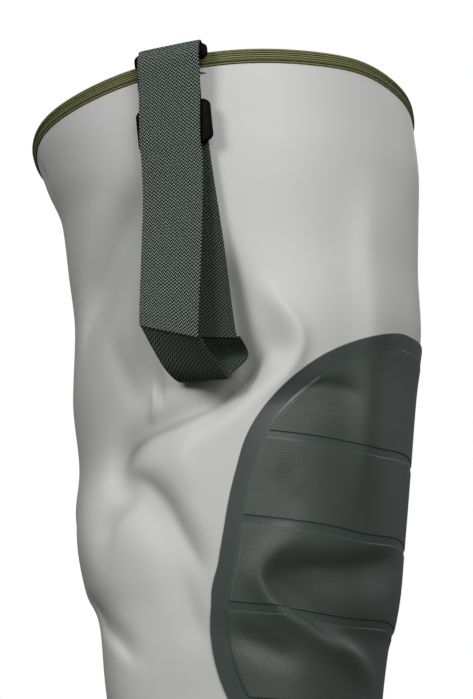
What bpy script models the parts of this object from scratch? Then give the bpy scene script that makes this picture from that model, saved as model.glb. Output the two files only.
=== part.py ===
"""Hip wader for the right leg: a moulded boot with a coated-fabric leg, a knee patch and a belt strap.

Metres, +Z up. The toe points along +X and the outer side of the leg faces -Y.
Sections are measured from the leg axis, which stands over the heel. Around a section the
angle phi runs from the back (0) over the outer side (90 degrees) and the front (180 degrees)
to the inner side (270 degrees).
"""

import math

import bmesh
import bpy
import numpy as np

# Driving dimensions
LEG_AXIS = (-0.0453, 0.0075, 0.0)   # where the leg axis stands, so that the origin is under the middle
FOOT_LENGTH = 0.293                 # heel back to toe tip of the moulded upper
HEEL_BACK = 0.074                   # heel back behind the leg axis
BALL_WIDTH = 0.102                  # widest part of the upper's foot
INSTEP_HEIGHT = 0.120               # floor to the bend between vamp and ankle
HEEL_LIFT = 0.012                   # how much higher the heel seat is than the ball
TOE_SPRING = 0.009                  # rise of the toe tip
TOE_SWING = 0.009                   # toe tip turned towards the inner side
OUTER_BOW = 0.003                   # bow of the foot's middle line towards the outer side
WAIST_HOLLOW = 0.14                 # share by which the inner waist is drawn in
# Places along the foot as shares of its length from the heel back, each with the run of its change
HEEL_SEAT_END, HEEL_SEAT_RUN = 0.22, 0.36
WIDENING_START, WIDENING_RUN = 0.22, 0.42
WAIST_PLACE, WAIST_REACH = 0.42, 0.12
BOW_START, BOW_RUN = 0.25, 0.55
SWING_START, SWING_RUN = 0.60, 0.40
SPRING_START, SPRING_RUN = 0.72, 0.28
TREAD_SPRING_START, TREAD_SPRING_RUN = 0.80, 0.20
SPRING_LIMIT = 1.2                  # where the spring stops growing past the toe tip
WAIST_FADE_START, WAIST_FADE_RUN = 0.35, 0.40     # the waist fades out up the foot, as shares of the instep
LIFT_FADE_START, LIFT_FADE_RUN = 0.045, 0.100     # the lift fades out up the ankle, in metres
BOOT_WALL = 0.0024
BOOT_COLLAR_HEIGHT = 0.300
LEG_WALL = 0.0010
LEG_FOOT_HEIGHT = 0.272             # lower edge of the leg, welded over the boot's collar
GAP = 0.0003                        # room between two pieces that touch
CURVED_GAP = 0.00115                # the same where faceted curves with other facets meet
RING_POINTS = 36                    # points around a section
SOLE_POINTS = 64                    # points around the sole
INSOLE_POINTS = 32                  # points around the insole

# The slanted top edge of the leg: a plane that rises to the front and to the outer side
HEM_HEIGHT = 0.8195
HEM_RISE_FORWARD = 0.158
HEM_RISE_OUTWARD = 0.188
HEM_DEPTH = 0.0070
HEM_WALL = 0.0012
HEM_BEVEL = 0.0006
# Soft waves of that edge: angle in degrees, rise, and reach in degrees
HEM_WAVES = ((34.0, 0.0026, 20.0), (156.0, 0.0018, 15.0))

# Sole
SOLE_MARGIN = 0.0040
FEATHER_HEIGHT = 0.0138
ARCH_HEIGHT = 0.0085
ARCH_BREAST = 0.004                 # slope of the heel's front face, along the foot
ARCH_BELOW = 0.002                  # how far the arch's cutter reaches below the floor
HEEL_BREAST = 0.26                  # share of the foot length where the heel ends
FOREFOOT_START = 0.44
GROOVE_WIDTH = 0.0065
GROOVE_DEPTH = 0.0045
INSOLE_THICKNESS = 0.0040

# Knee patch: an oval of coated sheet with padded panels, symmetric about the front of the leg
PATCH_CENTRE = 0.545
PATCH_RISE = 0.134                  # from the centre to the top
PATCH_DROP = 0.150                  # from the centre to the bottom
PATCH_HALF_WIDTH = 0.133            # along the surface
PATCH_BORDER = 0.0105
PATCH_ROUNDNESS = 2.3
PATCH_SHEET = 0.0009
PATCH_PAD = 0.0011
PATCH_STEP = 0.0008
PATCH_COLUMNS = 11
PATCH_BORDER_COLUMNS = 3
PANEL_LEAST, PANEL_MOST, BORDER_MOST = 0.30, 0.95, 0.98   # limits of the panel's share near the two ends
BAND_HEIGHTS = (0.6060, 0.5540, 0.5005, 0.4470)   # pressed bands across the patch
BAND_WIDTH = 0.0050
BORDER_END_ROWS = (1.0, 0.9985, 0.993, 0.982, 0.964, 0.940)   # shares of the rise or drop
PANEL_END_ROWS = (0.984, 0.960, 0.925, 0.870, 0.790, 0.630)   # the same for the panels inside the border

# Belt strap and its plastic pieces, on the outer side
STRAP_WIDTH = 0.040
STRAP_THICKNESS = 0.0016
STRAP_X = -0.0035                   # middle of the webbing at the slider
HARDWARE_TILT = math.radians(6.0)   # ring and slider follow the slant of the hem
RING_X = -0.0070
RING_WIDTH = 0.0475
RING_HEIGHT = 0.0106
RING_BAR = 0.0032
RING_CORNER = 0.0022
RING_TOP_HEIGHT = 0.84315           # middle of the bar that carries the webbing
RING_STANDOFF = 0.0056              # outside the leg, in front of the hem
SLIDER_WIDTH = 0.0480
SLIDER_HEIGHT = 0.0270
SLIDER_CENTRE_HEIGHT = 0.7960
SLIDER_STANDOFF = 0.0075
SLIDER_THICKNESS = 0.0032
SLIDER_CORNER = 0.0045
SLIDER_SLOT = 0.0064
SLIDER_BAR = 0.0042
TAB_WIDTH = 0.0300
TAB_THICKNESS = 0.0012

# Boot sections. rise is a share of the instep height, back and front are shares of the foot length from
# the heel back, heel and ball are widths as shares of the ball width, and bluntness rounds the two ends.
BOOT_COLUMNS = ("rise", "back", "front", "heel", "ball", "bluntness")
BOOT_SECTIONS = (
    (0.115, 0.012, 0.978, 0.69, 0.960, 0.62),
    (0.200, 0.000, 0.997, 0.73, 1.000, 0.60),
    (0.320, 0.000, 1.000, 0.73, 0.985, 0.62),
    (0.420, 0.000, 0.983, 0.72, 0.930, 0.66),
    (0.480, 0.003, 0.955, 0.70, 0.870, 0.70),
    (0.530, 0.005, 0.910, 0.70, 0.800, 0.76),
    (0.580, 0.007, 0.845, 0.69, 0.745, 0.84),
    (0.650, 0.010, 0.765, 0.68, 0.715, 0.90),
    (0.750, 0.014, 0.672, 0.68, 0.700, 0.95),
    (0.870, 0.020, 0.590, 0.69, 0.715, 1.00),
    (1.000, 0.027, 0.535, 0.72, 0.750, 1.00),
    (1.170, 0.032, 0.502, 0.77, 0.800, 1.00),
    (1.380, 0.034, 0.487, 0.85, 0.870, 1.00),
    (1.670, 0.031, 0.484, 0.985, 0.985, 1.00),
    (2.000, 0.024, 0.488, 1.120, 1.120, 1.00),
)

# Leg sections: height, reach to the back and to the front of the leg axis, and half width
LEG_COLUMNS = ("height", "back", "front", "half_width")
LEG_SECTIONS = (
    (0.262, 0.0697, 0.0708, 0.0628),
    (0.300, 0.0717, 0.0727, 0.0662),
    (0.380, 0.0745, 0.0785, 0.0705),
    (0.440, 0.0790, 0.0808, 0.0765),
    (0.490, 0.0845, 0.0858, 0.0840),
    (0.507, 0.0880, 0.0908, 0.0870),
    (0.527, 0.0975, 0.0943, 0.0905),
    (0.550, 0.1025, 0.0963, 0.0935),
    (0.578, 0.1050, 0.0988, 0.0955),
    (0.602, 0.1030, 0.1008, 0.0965),
    (0.648, 0.1075, 0.1048, 0.0990),
    (0.690, 0.1062, 0.1098, 0.1020),
    (0.728, 0.1105, 0.1080, 0.1045),
    (0.760, 0.1150, 0.1085, 0.1065),
    (0.785, 0.1260, 0.1092, 0.1075),
    (0.812, 0.1345, 0.1066, 0.1080),
    (0.860, 0.1360, 0.0985, 0.1080),
)
LEG_RING_HEIGHTS = (0.272, 0.300, 0.345, 0.385, 0.420, 0.460, 0.490, 0.515, 0.540, 0.570, 0.595, 0.635,
                    0.660, 0.700)
LEG_RINGS_TO_HEM = (0.30, 0.56, 0.80)   # shares of the way from the last height to the hem

# Side of the sole from the floor (level 0) to the feather line (level 1): level, and reach past the outline
SOLE_SIDE = (
    (0.00, -0.0008),
    (0.14, 0.0012),
    (0.42, 0.0016),
    (0.45, 0.0002),
    (0.54, 0.0002),
    (0.57, 0.0016),
    (0.90, 0.0016),
    (1.00, 0.0008),
)
# Tread grooves: place along the foot as a share of its length
GROOVE_PLACES = (0.055, 0.115, 0.175, 0.505, 0.565, 0.625, 0.685, 0.745, 0.805, 0.865, 0.925)
GROOVE_BEND = 0.010                 # how far the middle of a groove lies ahead of its ends

# The strap's two edges from its end at the slider, over the ring, round the loop's foot and back to the
# slider. For each edge: shift along X from the strap's middle, stand-off from the leg, and height.
STRAP_ROUTE = (
    (-0.0210, 0.0046, 0.7960, 0.0190, 0.0046, 0.8000),
    (-0.0214, 0.0046, 0.8109, 0.0184, 0.0046, 0.8151),
    (-0.0219, 0.0060, 0.8179, 0.0178, 0.0060, 0.8221),
    (-0.0226, 0.0088, 0.8254, 0.0170, 0.0088, 0.8296),
    (-0.0230, 0.0101, 0.8314, 0.0165, 0.0101, 0.8356),
    (-0.0232, 0.0101, 0.8344, 0.0162, 0.0101, 0.8386),
    (-0.0232, 0.0088, 0.8371, 0.0162, 0.0088, 0.8413),
    (-0.0232, 0.0056, 0.8380, 0.0162, 0.0056, 0.8422),
    (-0.0232, 0.0031, 0.8391, 0.0162, 0.0031, 0.8433),
    (-0.0232, 0.0027, 0.8410, 0.0162, 0.0027, 0.8452),
    (-0.0232, 0.0035, 0.8431, 0.0162, 0.0035, 0.8473),
    (-0.0232, 0.0056, 0.8440, 0.0162, 0.0056, 0.8482),
    (-0.0232, 0.0077, 0.8431, 0.0162, 0.0077, 0.8473),
    (-0.0230, 0.0088, 0.8410, 0.0164, 0.0088, 0.8452),
    (-0.0227, 0.0105, 0.8386, 0.0167, 0.0105, 0.8428),
    (-0.0223, 0.0122, 0.8349, 0.0171, 0.0122, 0.8391),
    (-0.0220, 0.0122, 0.8299, 0.0175, 0.0122, 0.8341),
    (-0.0216, 0.0117, 0.8230, 0.0179, 0.0117, 0.8250),
    (-0.0216, 0.0111, 0.8120, 0.0179, 0.0111, 0.8120),
    (-0.0216, 0.0107, 0.7950, 0.0178, 0.0110, 0.7950),
    (-0.0214, 0.0106, 0.7840, 0.0182, 0.0112, 0.7840),
    (-0.0206, 0.0098, 0.7740, 0.0193, 0.0112, 0.7740),
    (-0.0200, 0.0100, 0.7500, 0.0196, 0.0128, 0.7500),
    (-0.0200, 0.0155, 0.7100, 0.0194, 0.0180, 0.7080),
    (-0.0198, 0.0204, 0.6770, 0.0186, 0.0232, 0.6675),
    (-0.0183, 0.0197, 0.6710, 0.0200, 0.0220, 0.6615),
    (-0.0085, 0.0128, 0.6495, 0.0285, 0.0118, 0.6460),
    (-0.0025, 0.0082, 0.6405, 0.0335, 0.0072, 0.6395),
    (0.0030, 0.0045, 0.6410, 0.0400, 0.0040, 0.6440),
    (0.0030, 0.0036, 0.6510, 0.0427, 0.0034, 0.6545),
    (-0.0045, 0.0034, 0.6740, 0.0351, 0.0034, 0.6700),
    (-0.0105, 0.0032, 0.7250, 0.0291, 0.0032, 0.7210),
    (-0.0175, 0.0038, 0.7700, 0.0223, 0.0038, 0.7720),
    (-0.0205, 0.0046, 0.7925, 0.0195, 0.0046, 0.7965),
)
STRAP_STEPS = 2                     # points between two rows of the route

# Profile of the anchor tab, up the leg, over the hem and round the ring's lower bar: stand-off from the
# leg's outer face, and height
TAB_PROFILE = (
    (0.0011, 0.8170),
    (0.0013, 0.8220),
    (0.0024, 0.8262),
    (0.0026, 0.8320),
    (0.0030, 0.83575),
    (0.0038, 0.8376),
    (0.0056, 0.83835),
    (0.0074, 0.8376),
    (0.0082, 0.83575),
    (0.0074, 0.8339),
    (0.0058, 0.8331),
)


# Curves and sections

def column(table, columns, name):
    return np.array([row[columns.index(name)] for row in table])


def smooth(places, values, at):
    """Values on a curve through the rows that keeps its rises and falls (monotone cubic)."""
    places, values = np.asarray(places, float), np.asarray(values, float)
    step = np.diff(places)
    slope = np.diff(values) / step
    rising = slope[:-1] * slope[1:] > 0
    middle = np.where(rising, 2 * slope[:-1] * slope[1:] / (slope[:-1] + slope[1:] + 1e-30), 0)
    tangent = np.concatenate([[slope[0]], middle, [slope[-1]]])
    at = np.clip(np.asarray(at, float), places[0], places[-1])
    i = np.clip(np.searchsorted(places, at) - 1, 0, len(step) - 1)
    t = (at - places[i]) / step[i]
    return (values[i] * (1 + 2 * t) * (1 - t) ** 2 + tangent[i] * step[i] * t * (1 - t) ** 2
            + values[i + 1] * t * t * (3 - 2 * t) + tangent[i + 1] * step[i] * t * t * (t - 1))


def ease(t):
    t = np.clip(t, 0, 1)
    return t * t * (3 - 2 * t)


def ring_angles(count=RING_POINTS):
    return 2 * math.pi * np.arange(count) / count


def leg_point(phi, height, offset=0.0):
    """Point of the leg's outer face, moved out along the section's normal by offset."""
    heights = column(LEG_SECTIONS, LEG_COLUMNS, "height")
    back, front, half_width = (smooth(heights, column(LEG_SECTIONS, LEG_COLUMNS, name), height)
                               for name in LEG_COLUMNS[1:])
    half_length, middle = (back + front) / 2, (front - back) / 2
    out_x, out_y = -half_width * np.cos(phi), -half_length * np.sin(phi)
    length = np.hypot(out_x, out_y)
    x = middle - half_length * np.cos(phi) + offset * out_x / length
    y = -half_width * np.sin(phi) + offset * out_y / length
    return np.stack(np.broadcast_arrays(x, y, height), axis=-1)


def leg_face_point(phi, height, offset):
    """Point above the leg's flat strips, which run straight from one of its rings to the next."""
    i = int(np.clip(np.searchsorted(LEG_RING_HEIGHTS, height) - 1, 0, len(LEG_RING_HEIGHTS) - 2))
    low, high = LEG_RING_HEIGHTS[i], LEG_RING_HEIGHTS[i + 1]
    share = (height - low) / (high - low)
    ends = [leg_point(phi, np.full(np.shape(phi), z), offset) for z in (low, high)]
    return (1 - share) * ends[0] + share * ends[1]


def hem_height(phi):
    """Height of the slanted top edge at each angle: a plane cut through the leg, with its soft waves."""
    height = np.full(np.shape(phi), HEM_HEIGHT)
    for _ in range(12):
        point = leg_point(phi, height)
        height = HEM_HEIGHT + HEM_RISE_FORWARD * point[..., 0] - HEM_RISE_OUTWARD * point[..., 1]
    for angle, rise, reach in HEM_WAVES:
        height = height + rise * np.exp(-((np.degrees(phi) - angle) / reach) ** 2)
    return height


def foot_share(x):
    return (x + HEEL_BACK) / FOOT_LENGTH


def lift(x):
    """Rise of the feather line above the ball: the heel seat behind, the toe spring in front."""
    share = foot_share(x)
    heel = HEEL_LIFT * (1 - ease((share - HEEL_SEAT_END) / HEEL_SEAT_RUN))
    return heel + TOE_SPRING * np.clip((share - SPRING_START) / SPRING_RUN, 0, SPRING_LIMIT) ** 2


def tread_spring(share):
    """Rise of the tread towards the toe tip."""
    return TOE_SPRING * np.clip((share - TREAD_SPRING_START) / TREAD_SPRING_RUN, 0, SPRING_LIMIT) ** 2


def foot_outline(phi, rise, margin=0.0):
    """Horizontal outline of the boot at a share of the instep height, without its lift."""
    rises = column(BOOT_SECTIONS, BOOT_COLUMNS, "rise")
    size = {name: smooth(rises, column(BOOT_SECTIONS, BOOT_COLUMNS, name), rise)
            for name in BOOT_COLUMNS[1:]}
    back = size["back"] * FOOT_LENGTH - HEEL_BACK - margin
    front = size["front"] * FOOT_LENGTH - HEEL_BACK + margin
    x = (front + back) / 2 - (front - back) / 2 * np.cos(phi)
    share = foot_share(x)
    widening = ease((share - WIDENING_START) / WIDENING_RUN)
    half_width = BALL_WIDTH / 2 * (size["heel"] + (size["ball"] - size["heel"]) * widening) + margin
    waist = np.exp(-((share - WAIST_PLACE) / WAIST_REACH) ** 2)
    hollow = WAIST_HOLLOW * waist * (1 - ease((rise - WAIST_FADE_START) / WAIST_FADE_RUN))
    half_width = half_width * np.where(np.sin(phi) < 0, 1 - hollow, 1.0)
    bow = OUTER_BOW * np.sin(math.pi * np.clip((share - BOW_START) / BOW_RUN, 0, 1))
    middle = TOE_SWING * ease((share - SWING_START) / SWING_RUN) - bow
    y = middle - np.sign(np.sin(phi)) * half_width * np.abs(np.sin(phi)) ** size["bluntness"]
    return x, y


def boot_ring(phi, rise):
    x, y = foot_outline(phi, rise)
    height = rise * INSTEP_HEIGHT
    z = height + lift(x) * (1 - ease((height - LIFT_FADE_START) / LIFT_FADE_RUN))
    return np.stack([x, y, z], axis=-1)


def drawn_in(rings, thickness):
    """A closed tube of rings moved inwards along its own normals."""
    around = np.roll(rings, -1, axis=1) - np.roll(rings, 1, axis=1)
    upward = np.gradient(rings, axis=0)
    normal = np.cross(around, upward)
    normal[0, :, 2] = 0
    normal[-1, :, 2] = 0
    normal /= np.linalg.norm(normal, axis=-1, keepdims=True)
    return rings - thickness * normal


# Meshes

def material(name, colour, roughness, metallic=0.0):
    made = bpy.data.materials.new(name)
    made.use_nodes = True
    shader = made.node_tree.nodes["Principled BSDF"]
    shader.inputs["Base Color"].default_value = (*colour, 1.0)
    shader.inputs["Roughness"].default_value = roughness
    shader.inputs["Metallic"].default_value = metallic
    return made


def add_object(name, points, faces, finish, parent):
    """A named object from points and faces, with doubles merged and faces turned outwards."""
    mesh = bpy.data.meshes.new(name)
    mesh.from_pydata([tuple(map(float, p)) for p in points], [], [tuple(map(int, f)) for f in faces])
    shape = bmesh.new()
    shape.from_mesh(mesh)
    bmesh.ops.remove_doubles(shape, verts=shape.verts, dist=1e-6)
    bmesh.ops.recalc_face_normals(shape, faces=shape.faces)
    shape.to_mesh(mesh)
    shape.free()
    mesh.shade_smooth()
    mesh.set_sharp_from_angle(angle=math.radians(35))
    made = bpy.data.objects.new(name, mesh)
    bpy.context.scene.collection.objects.link(made)
    made.parent = parent
    if finish is not None:
        mesh.materials.append(finish)
    return made


def grid_faces(rows, columns, start=0, closed=False):
    """Quads between the points of a grid that is stored row by row."""
    i, j = np.meshgrid(np.arange(rows - 1), np.arange(columns if closed else columns - 1), indexing="ij")
    right = (j + 1) % columns
    corners = [i * columns + j, i * columns + right, (i + 1) * columns + right, (i + 1) * columns + j]
    return start + np.stack(corners, axis=-1).reshape(-1, 4)


def tube_solid(name, outer, inner, finish, parent):
    """A hollow wall between two tubes of rings, closed at its two rims."""
    rows, columns, _ = outer.shape
    wall = np.concatenate([outer, inner[::-1]])
    faces = list(grid_faces(2 * rows, columns, closed=True))
    last = (2 * rows - 1) * columns
    faces += [(last + j, last + (j + 1) % columns, (j + 1) % columns, j) for j in range(columns)]
    return add_object(name, wall.reshape(-1, 3), faces, finish, parent)


def sheet_solid(name, upper, lower, finish, parent):
    """A solid between two open grids of the same size."""
    rows, columns, _ = upper.shape
    count = rows * columns
    faces = list(grid_faces(rows, columns)) + list(grid_faces(rows, columns, count)[:, ::-1])
    edge = [j for j in range(columns)] + [i * columns + columns - 1 for i in range(1, rows)]
    edge += [(rows - 1) * columns + j for j in range(columns - 2, -1, -1)]
    edge += [i * columns for i in range(rows - 2, 0, -1)]
    faces += [(a, b, count + b, count + a) for a, b in zip(edge, edge[1:] + edge[:1])]
    points = np.concatenate([upper.reshape(-1, 3), lower.reshape(-1, 3)])
    return add_object(name, points, faces, finish, parent)


def ring_solid(name, path_points, finish, parent):
    """A solid swept round a closed path: a grid closed in both directions."""
    rows, columns, _ = path_points.shape
    looped = np.concatenate([path_points, path_points[:1]])
    faces = grid_faces(rows + 1, columns, closed=True)
    return add_object(name, looped.reshape(-1, 3), faces, finish, parent)


def capped_solid(name, rings, finish, parent):
    """A solid from closed rings, with its first and last ring closed by strips across the foot."""
    rows, columns, _ = rings.shape
    faces = list(grid_faces(rows, columns, closed=True))
    for start in (0, (rows - 1) * columns):
        strip = [(j, columns - j) for j in range(1, columns // 2)]
        faces += [(start, start + strip[0][0], start + strip[0][1])]
        faces += [(start + a, start + c, start + d, start + b) for (a, b), (c, d) in zip(strip, strip[1:])]
        faces += [(start + strip[-1][0], start + columns // 2, start + strip[-1][1])]
    return add_object(name, rings.reshape(-1, 3), faces, finish, parent)


def cut(target, cutter):
    cutter.hide_render = True
    cutter.display_type = "WIRE"
    modifier = target.modifiers.new("cut_" + cutter.name, "BOOLEAN")
    modifier.operation = "DIFFERENCE"
    modifier.object = cutter


def through_points(points, steps):
    """A smooth curve through rows of numbers (Catmull-Rom), with a few points between each pair of rows."""
    points = np.asarray(points, float)
    padded = np.concatenate([2 * points[:1] - points[1:2], points, 2 * points[-1:] - points[-2:-1]])
    t = (np.arange(steps) / steps)[:, None]
    found = []
    for a, b, c, d in zip(padded, padded[1:], padded[2:], padded[3:]):
        bend = (2 * a - 5 * b + 4 * c - d) * t ** 2 + (3 * b - a - 3 * c + d) * t ** 3
        found.append(0.5 * (2 * b + (c - a) * t + bend))
    return np.concatenate(found + [points[-1:]])


# Sub-parts

def boot_upper(finish, parent):
    """Moulded boot: last-shaped foot and ankle up to the collar, open underneath."""
    phi = ring_angles()
    rings = [boot_ring(phi, rise) for rise in column(BOOT_SECTIONS, BOOT_COLUMNS, "rise")]
    inside_leg = -(LEG_WALL + GAP)
    collar = (LEG_FOOT_HEIGHT, BOOT_COLLAR_HEIGHT)
    rings += [leg_point(phi, np.full(phi.shape, z), inside_leg) for z in collar]
    outer = np.array(rings)
    return tube_solid("boot_upper", outer, drawn_in(outer, BOOT_WALL), finish, parent)


def outsole(finish, parent):
    """Sole with arch, toe spring, heel, side ribs and tread grooves."""
    phi = ring_angles(SOLE_POINTS)
    rings = []
    for level, reach in SOLE_SIDE:
        x, y = foot_outline(phi, BOOT_SECTIONS[1][0], SOLE_MARGIN + reach)
        floor = tread_spring(foot_share(x))
        top = FEATHER_HEIGHT + lift(x) - 1.5 * GAP
        rings.append(np.stack([x, y, floor + level * (top - floor)], axis=-1))
    sole = capped_solid("outsole", np.array(rings), finish, parent)
    cut(sole, arch_cutter(parent))
    cut(sole, groove_cutter(parent))
    return sole


def prism(outline, half_width):
    """Points and faces of an outline in X and Z carried across Y."""
    count = len(outline)
    points = [(x, side * half_width, z) for side in (-1, 1) for x, z in outline]
    faces = [tuple(range(count)), tuple(range(2 * count - 1, count - 1, -1))]
    faces += [(i, (i + 1) % count, count + (i + 1) % count, count + i) for i in range(count)]
    return points, faces


def arch_cutter(parent):
    """Hollow between heel and forefoot: a steep breast at the heel, then a shallow curve to the ball."""
    start = HEEL_BREAST * FOOT_LENGTH - HEEL_BACK
    run = (FOREFOOT_START - HEEL_BREAST) * FOOT_LENGTH
    top = start + ARCH_BREAST
    shares = (0, 0.25, 0.5, 0.75)
    curve = [(top + run * share, ARCH_HEIGHT * math.cos(share * math.pi / 2)) for share in shares]
    outline = [(start, -ARCH_BELOW), *curve, (top + run, -ARCH_BELOW)]
    return add_object("arch_cutter", *prism(outline, BALL_WIDTH), None, parent)


def groove_cutter(parent):
    """Chevron grooves across the tread, one bent bar for each place."""
    points, faces = [], []
    for place in GROOVE_PLACES:
        x = place * FOOT_LENGTH - HEEL_BACK
        floor = float(tread_spring(place))
        bars = [(x - GROOVE_BEND, -BALL_WIDTH), (x, 0.0), (x - GROOVE_BEND, BALL_WIDTH)]
        start = len(points)
        for bar_x, bar_y in bars:
            for side, top in ((-1, 0), (1, 0), (1, 1), (-1, 1)):
                z = floor + GROOVE_DEPTH if top else floor - 2 * GROOVE_DEPTH
                points.append((bar_x + side * GROOVE_WIDTH / 2, bar_y, z))
        faces += [tuple(f) for f in grid_faces(3, 4, start, closed=True)]
        faces += [(start + 3, start + 2, start + 1, start), (start + 8, start + 9, start + 10, start + 11)]
    return add_object("groove_cutter", points, faces, None, parent)


def insole(finish, parent):
    """Loose sheet on the sole, inside the boot."""
    phi = ring_angles(INSOLE_POINTS)
    margin = -(BOOT_WALL + 3 * GAP)
    rings = []
    for share in (0.0, 1.0):
        x, y = foot_outline(phi, BOOT_SECTIONS[0][0], margin)
        z = FEATHER_HEIGHT + lift(x) + GAP + share * INSOLE_THICKNESS
        rings.append(np.stack([x, y, z], axis=-1))
    return capped_solid("insole", np.array(rings), finish, parent)


def leg_shaft(finish, parent):
    """Coated-fabric leg from its weld on the boot's collar to the slanted hem."""
    phi = ring_angles()
    top = hem_height(phi)
    rows = [np.full(phi.shape, z) for z in LEG_RING_HEIGHTS]
    rows += [LEG_RING_HEIGHTS[-1] + share * (top - LEG_RING_HEIGHTS[-1]) for share in LEG_RINGS_TO_HEM]
    rows += [top - HEM_DEPTH, top]
    outer = np.array([leg_point(phi, height) for height in rows])
    inner = np.array([leg_point(phi, height, -LEG_WALL) for height in rows])
    return tube_solid("leg_shaft", outer, inner, finish, parent)


def hem_binding(finish, parent):
    """Elastic tape folded over the leg's top edge: a U section carried round the hem."""
    phi = ring_angles()
    top = hem_height(phi)
    outside, inside = GAP + HEM_WALL, -(LEG_WALL + GAP + HEM_WALL)
    crown = GAP + HEM_WALL
    section = (
        (outside, -HEM_DEPTH), (outside, crown - HEM_BEVEL), (outside - HEM_BEVEL, crown),
        (inside + HEM_BEVEL, crown), (inside, crown - HEM_BEVEL), (inside, -HEM_DEPTH),
        (inside + HEM_WALL, -HEM_DEPTH), (inside + HEM_WALL, GAP),
        (outside - HEM_WALL, GAP), (outside - HEM_WALL, -HEM_DEPTH),
    )
    path = np.array([leg_point(phi, top + up, out) for out, up in section]).transpose(1, 0, 2)
    return ring_solid("hem_binding", path, finish, parent)


def patch_half_width(height, inset=0.0):
    """Half width along the surface: an oval with a taller lower half, drawn in by inset."""
    rise = np.asarray(height) - PATCH_CENTRE
    reach = np.where(rise > 0, PATCH_RISE, PATCH_DROP) - inset
    share = np.clip(np.abs(rise) / reach, 0, 1)
    return (PATCH_HALF_WIDTH - inset) * (1 - share ** PATCH_ROUNDNESS) ** (1 / PATCH_ROUNDNESS)


def patch_rows():
    """Rows from the top of the patch to its bottom: height, and whether the pads stand up there."""
    half, step = BAND_WIDTH / 2, PATCH_STEP / 2
    rise, drop = PATCH_RISE - PATCH_BORDER, PATCH_DROP - PATCH_BORDER
    edges = [PATCH_CENTRE + rise]
    edges += [z for band in BAND_HEIGHTS for z in (band + half, band - half)]
    edges += [PATCH_CENTRE - drop]
    inside = [PATCH_CENTRE + share * rise for share in PANEL_END_ROWS]
    inside += [PATCH_CENTRE - share * drop for share in PANEL_END_ROWS]
    inside += [z for z in LEG_RING_HEIGHTS if min(abs(z - other) for other in inside) > half]
    rows = [(PATCH_CENTRE + share * PATCH_RISE, 0) for share in BORDER_END_ROWS]
    rows += [(PATCH_CENTRE - share * PATCH_DROP, 0) for share in BORDER_END_ROWS]
    for top, foot in zip(edges[::2], edges[1::2]):
        rows += [(top + step, 0), (top - step, 1), (foot + step, 1), (foot - step, 0)]
        rows += [(z, 1) for z in inside if foot + 2 * step < z < top - 2 * step]
    return sorted(rows, reverse=True)


def knee_patch(finish, parent):
    """Knee patch: a sheet on the leg's surface, with padded panels standing up between pressed bands."""
    inside = np.linspace(-1, 1, PATCH_COLUMNS)
    upper, lower = [], []
    for height, pad in patch_rows():
        rim = float(patch_half_width(height))
        panel = float(patch_half_width(height, PATCH_BORDER))
        panel = max(panel, PANEL_LEAST * rim)
        border = np.linspace(rim, min(panel + PATCH_STEP, BORDER_MOST * rim), PATCH_BORDER_COLUMNS)
        across = np.concatenate([-border, min(panel, PANEL_MOST * rim) * inside, border[::-1]])
        raised = np.zeros(across.shape)
        raised[PATCH_BORDER_COLUMNS:-PATCH_BORDER_COLUMNS] = pad * PATCH_PAD
        radius = np.linalg.norm(leg_point(np.array([0.0, math.pi / 2]), height)[:, :2], axis=-1).mean()
        phi = math.pi + across / radius
        lower.append(leg_face_point(phi, height, CURVED_GAP))
        upper.append(leg_face_point(phi, height, CURVED_GAP + PATCH_SHEET + raised))
    return sheet_solid("knee_patch", np.array(upper), np.array(lower), finish, parent)


def outer_side(x, height, standoff):
    """Point beside the outer side of the leg: X from the leg axis, height, and distance from its face."""
    half_width = smooth(column(LEG_SECTIONS, LEG_COLUMNS, "height"),
                        column(LEG_SECTIONS, LEG_COLUMNS, "half_width"), height)
    return np.stack(np.broadcast_arrays(x, -(half_width + standoff), height), axis=-1)


def strap_webbing(finish, parent):
    """Webbing loop: a ribbon between two edges, with its thickness set off along the ribbon's normal."""
    route = through_points(STRAP_ROUTE, STRAP_STEPS)
    back_edge = outer_side(STRAP_X + route[:, 0], route[:, 2], route[:, 1])
    front_edge = outer_side(STRAP_X + route[:, 3], route[:, 5], route[:, 4])
    ribbon = np.stack([back_edge, (back_edge + front_edge) / 2, front_edge], axis=1)
    normal = np.cross(np.gradient(ribbon, axis=0), (front_edge - back_edge)[:, None, :])
    normal /= np.linalg.norm(normal, axis=-1, keepdims=True)
    half = STRAP_THICKNESS / 2 * normal
    return sheet_solid("strap_webbing", ribbon + half, ribbon - half, finish, parent)


def anchor_tab(finish, parent):
    """Folded tab sewn to the leg below the hem, hooked round the ring's lower bar."""
    profile = through_points(TAB_PROFILE, STRAP_STEPS)
    edges = []
    for side in (-1, 1):
        x = RING_X + side * TAB_WIDTH / 2
        height = profile[:, 1] + side * TAB_WIDTH / 2 * math.tan(HARDWARE_TILT)
        edges.append(outer_side(x, height, profile[:, 0]))
    ribbon = np.stack(edges, axis=1)
    normal = np.cross(np.gradient(ribbon, axis=0), (ribbon[:, 1] - ribbon[:, 0])[:, None, :])
    normal /= np.linalg.norm(normal, axis=-1, keepdims=True)
    half = TAB_THICKNESS / 2 * normal
    return sheet_solid("anchor_tab", ribbon + half, ribbon - half, finish, parent)


def tilted(x, z):
    """X and Z turned by the hardware's tilt."""
    cosine, sine = math.cos(HARDWARE_TILT), math.sin(HARDWARE_TILT)
    return x * cosine - z * sine, x * sine + z * cosine


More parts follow.
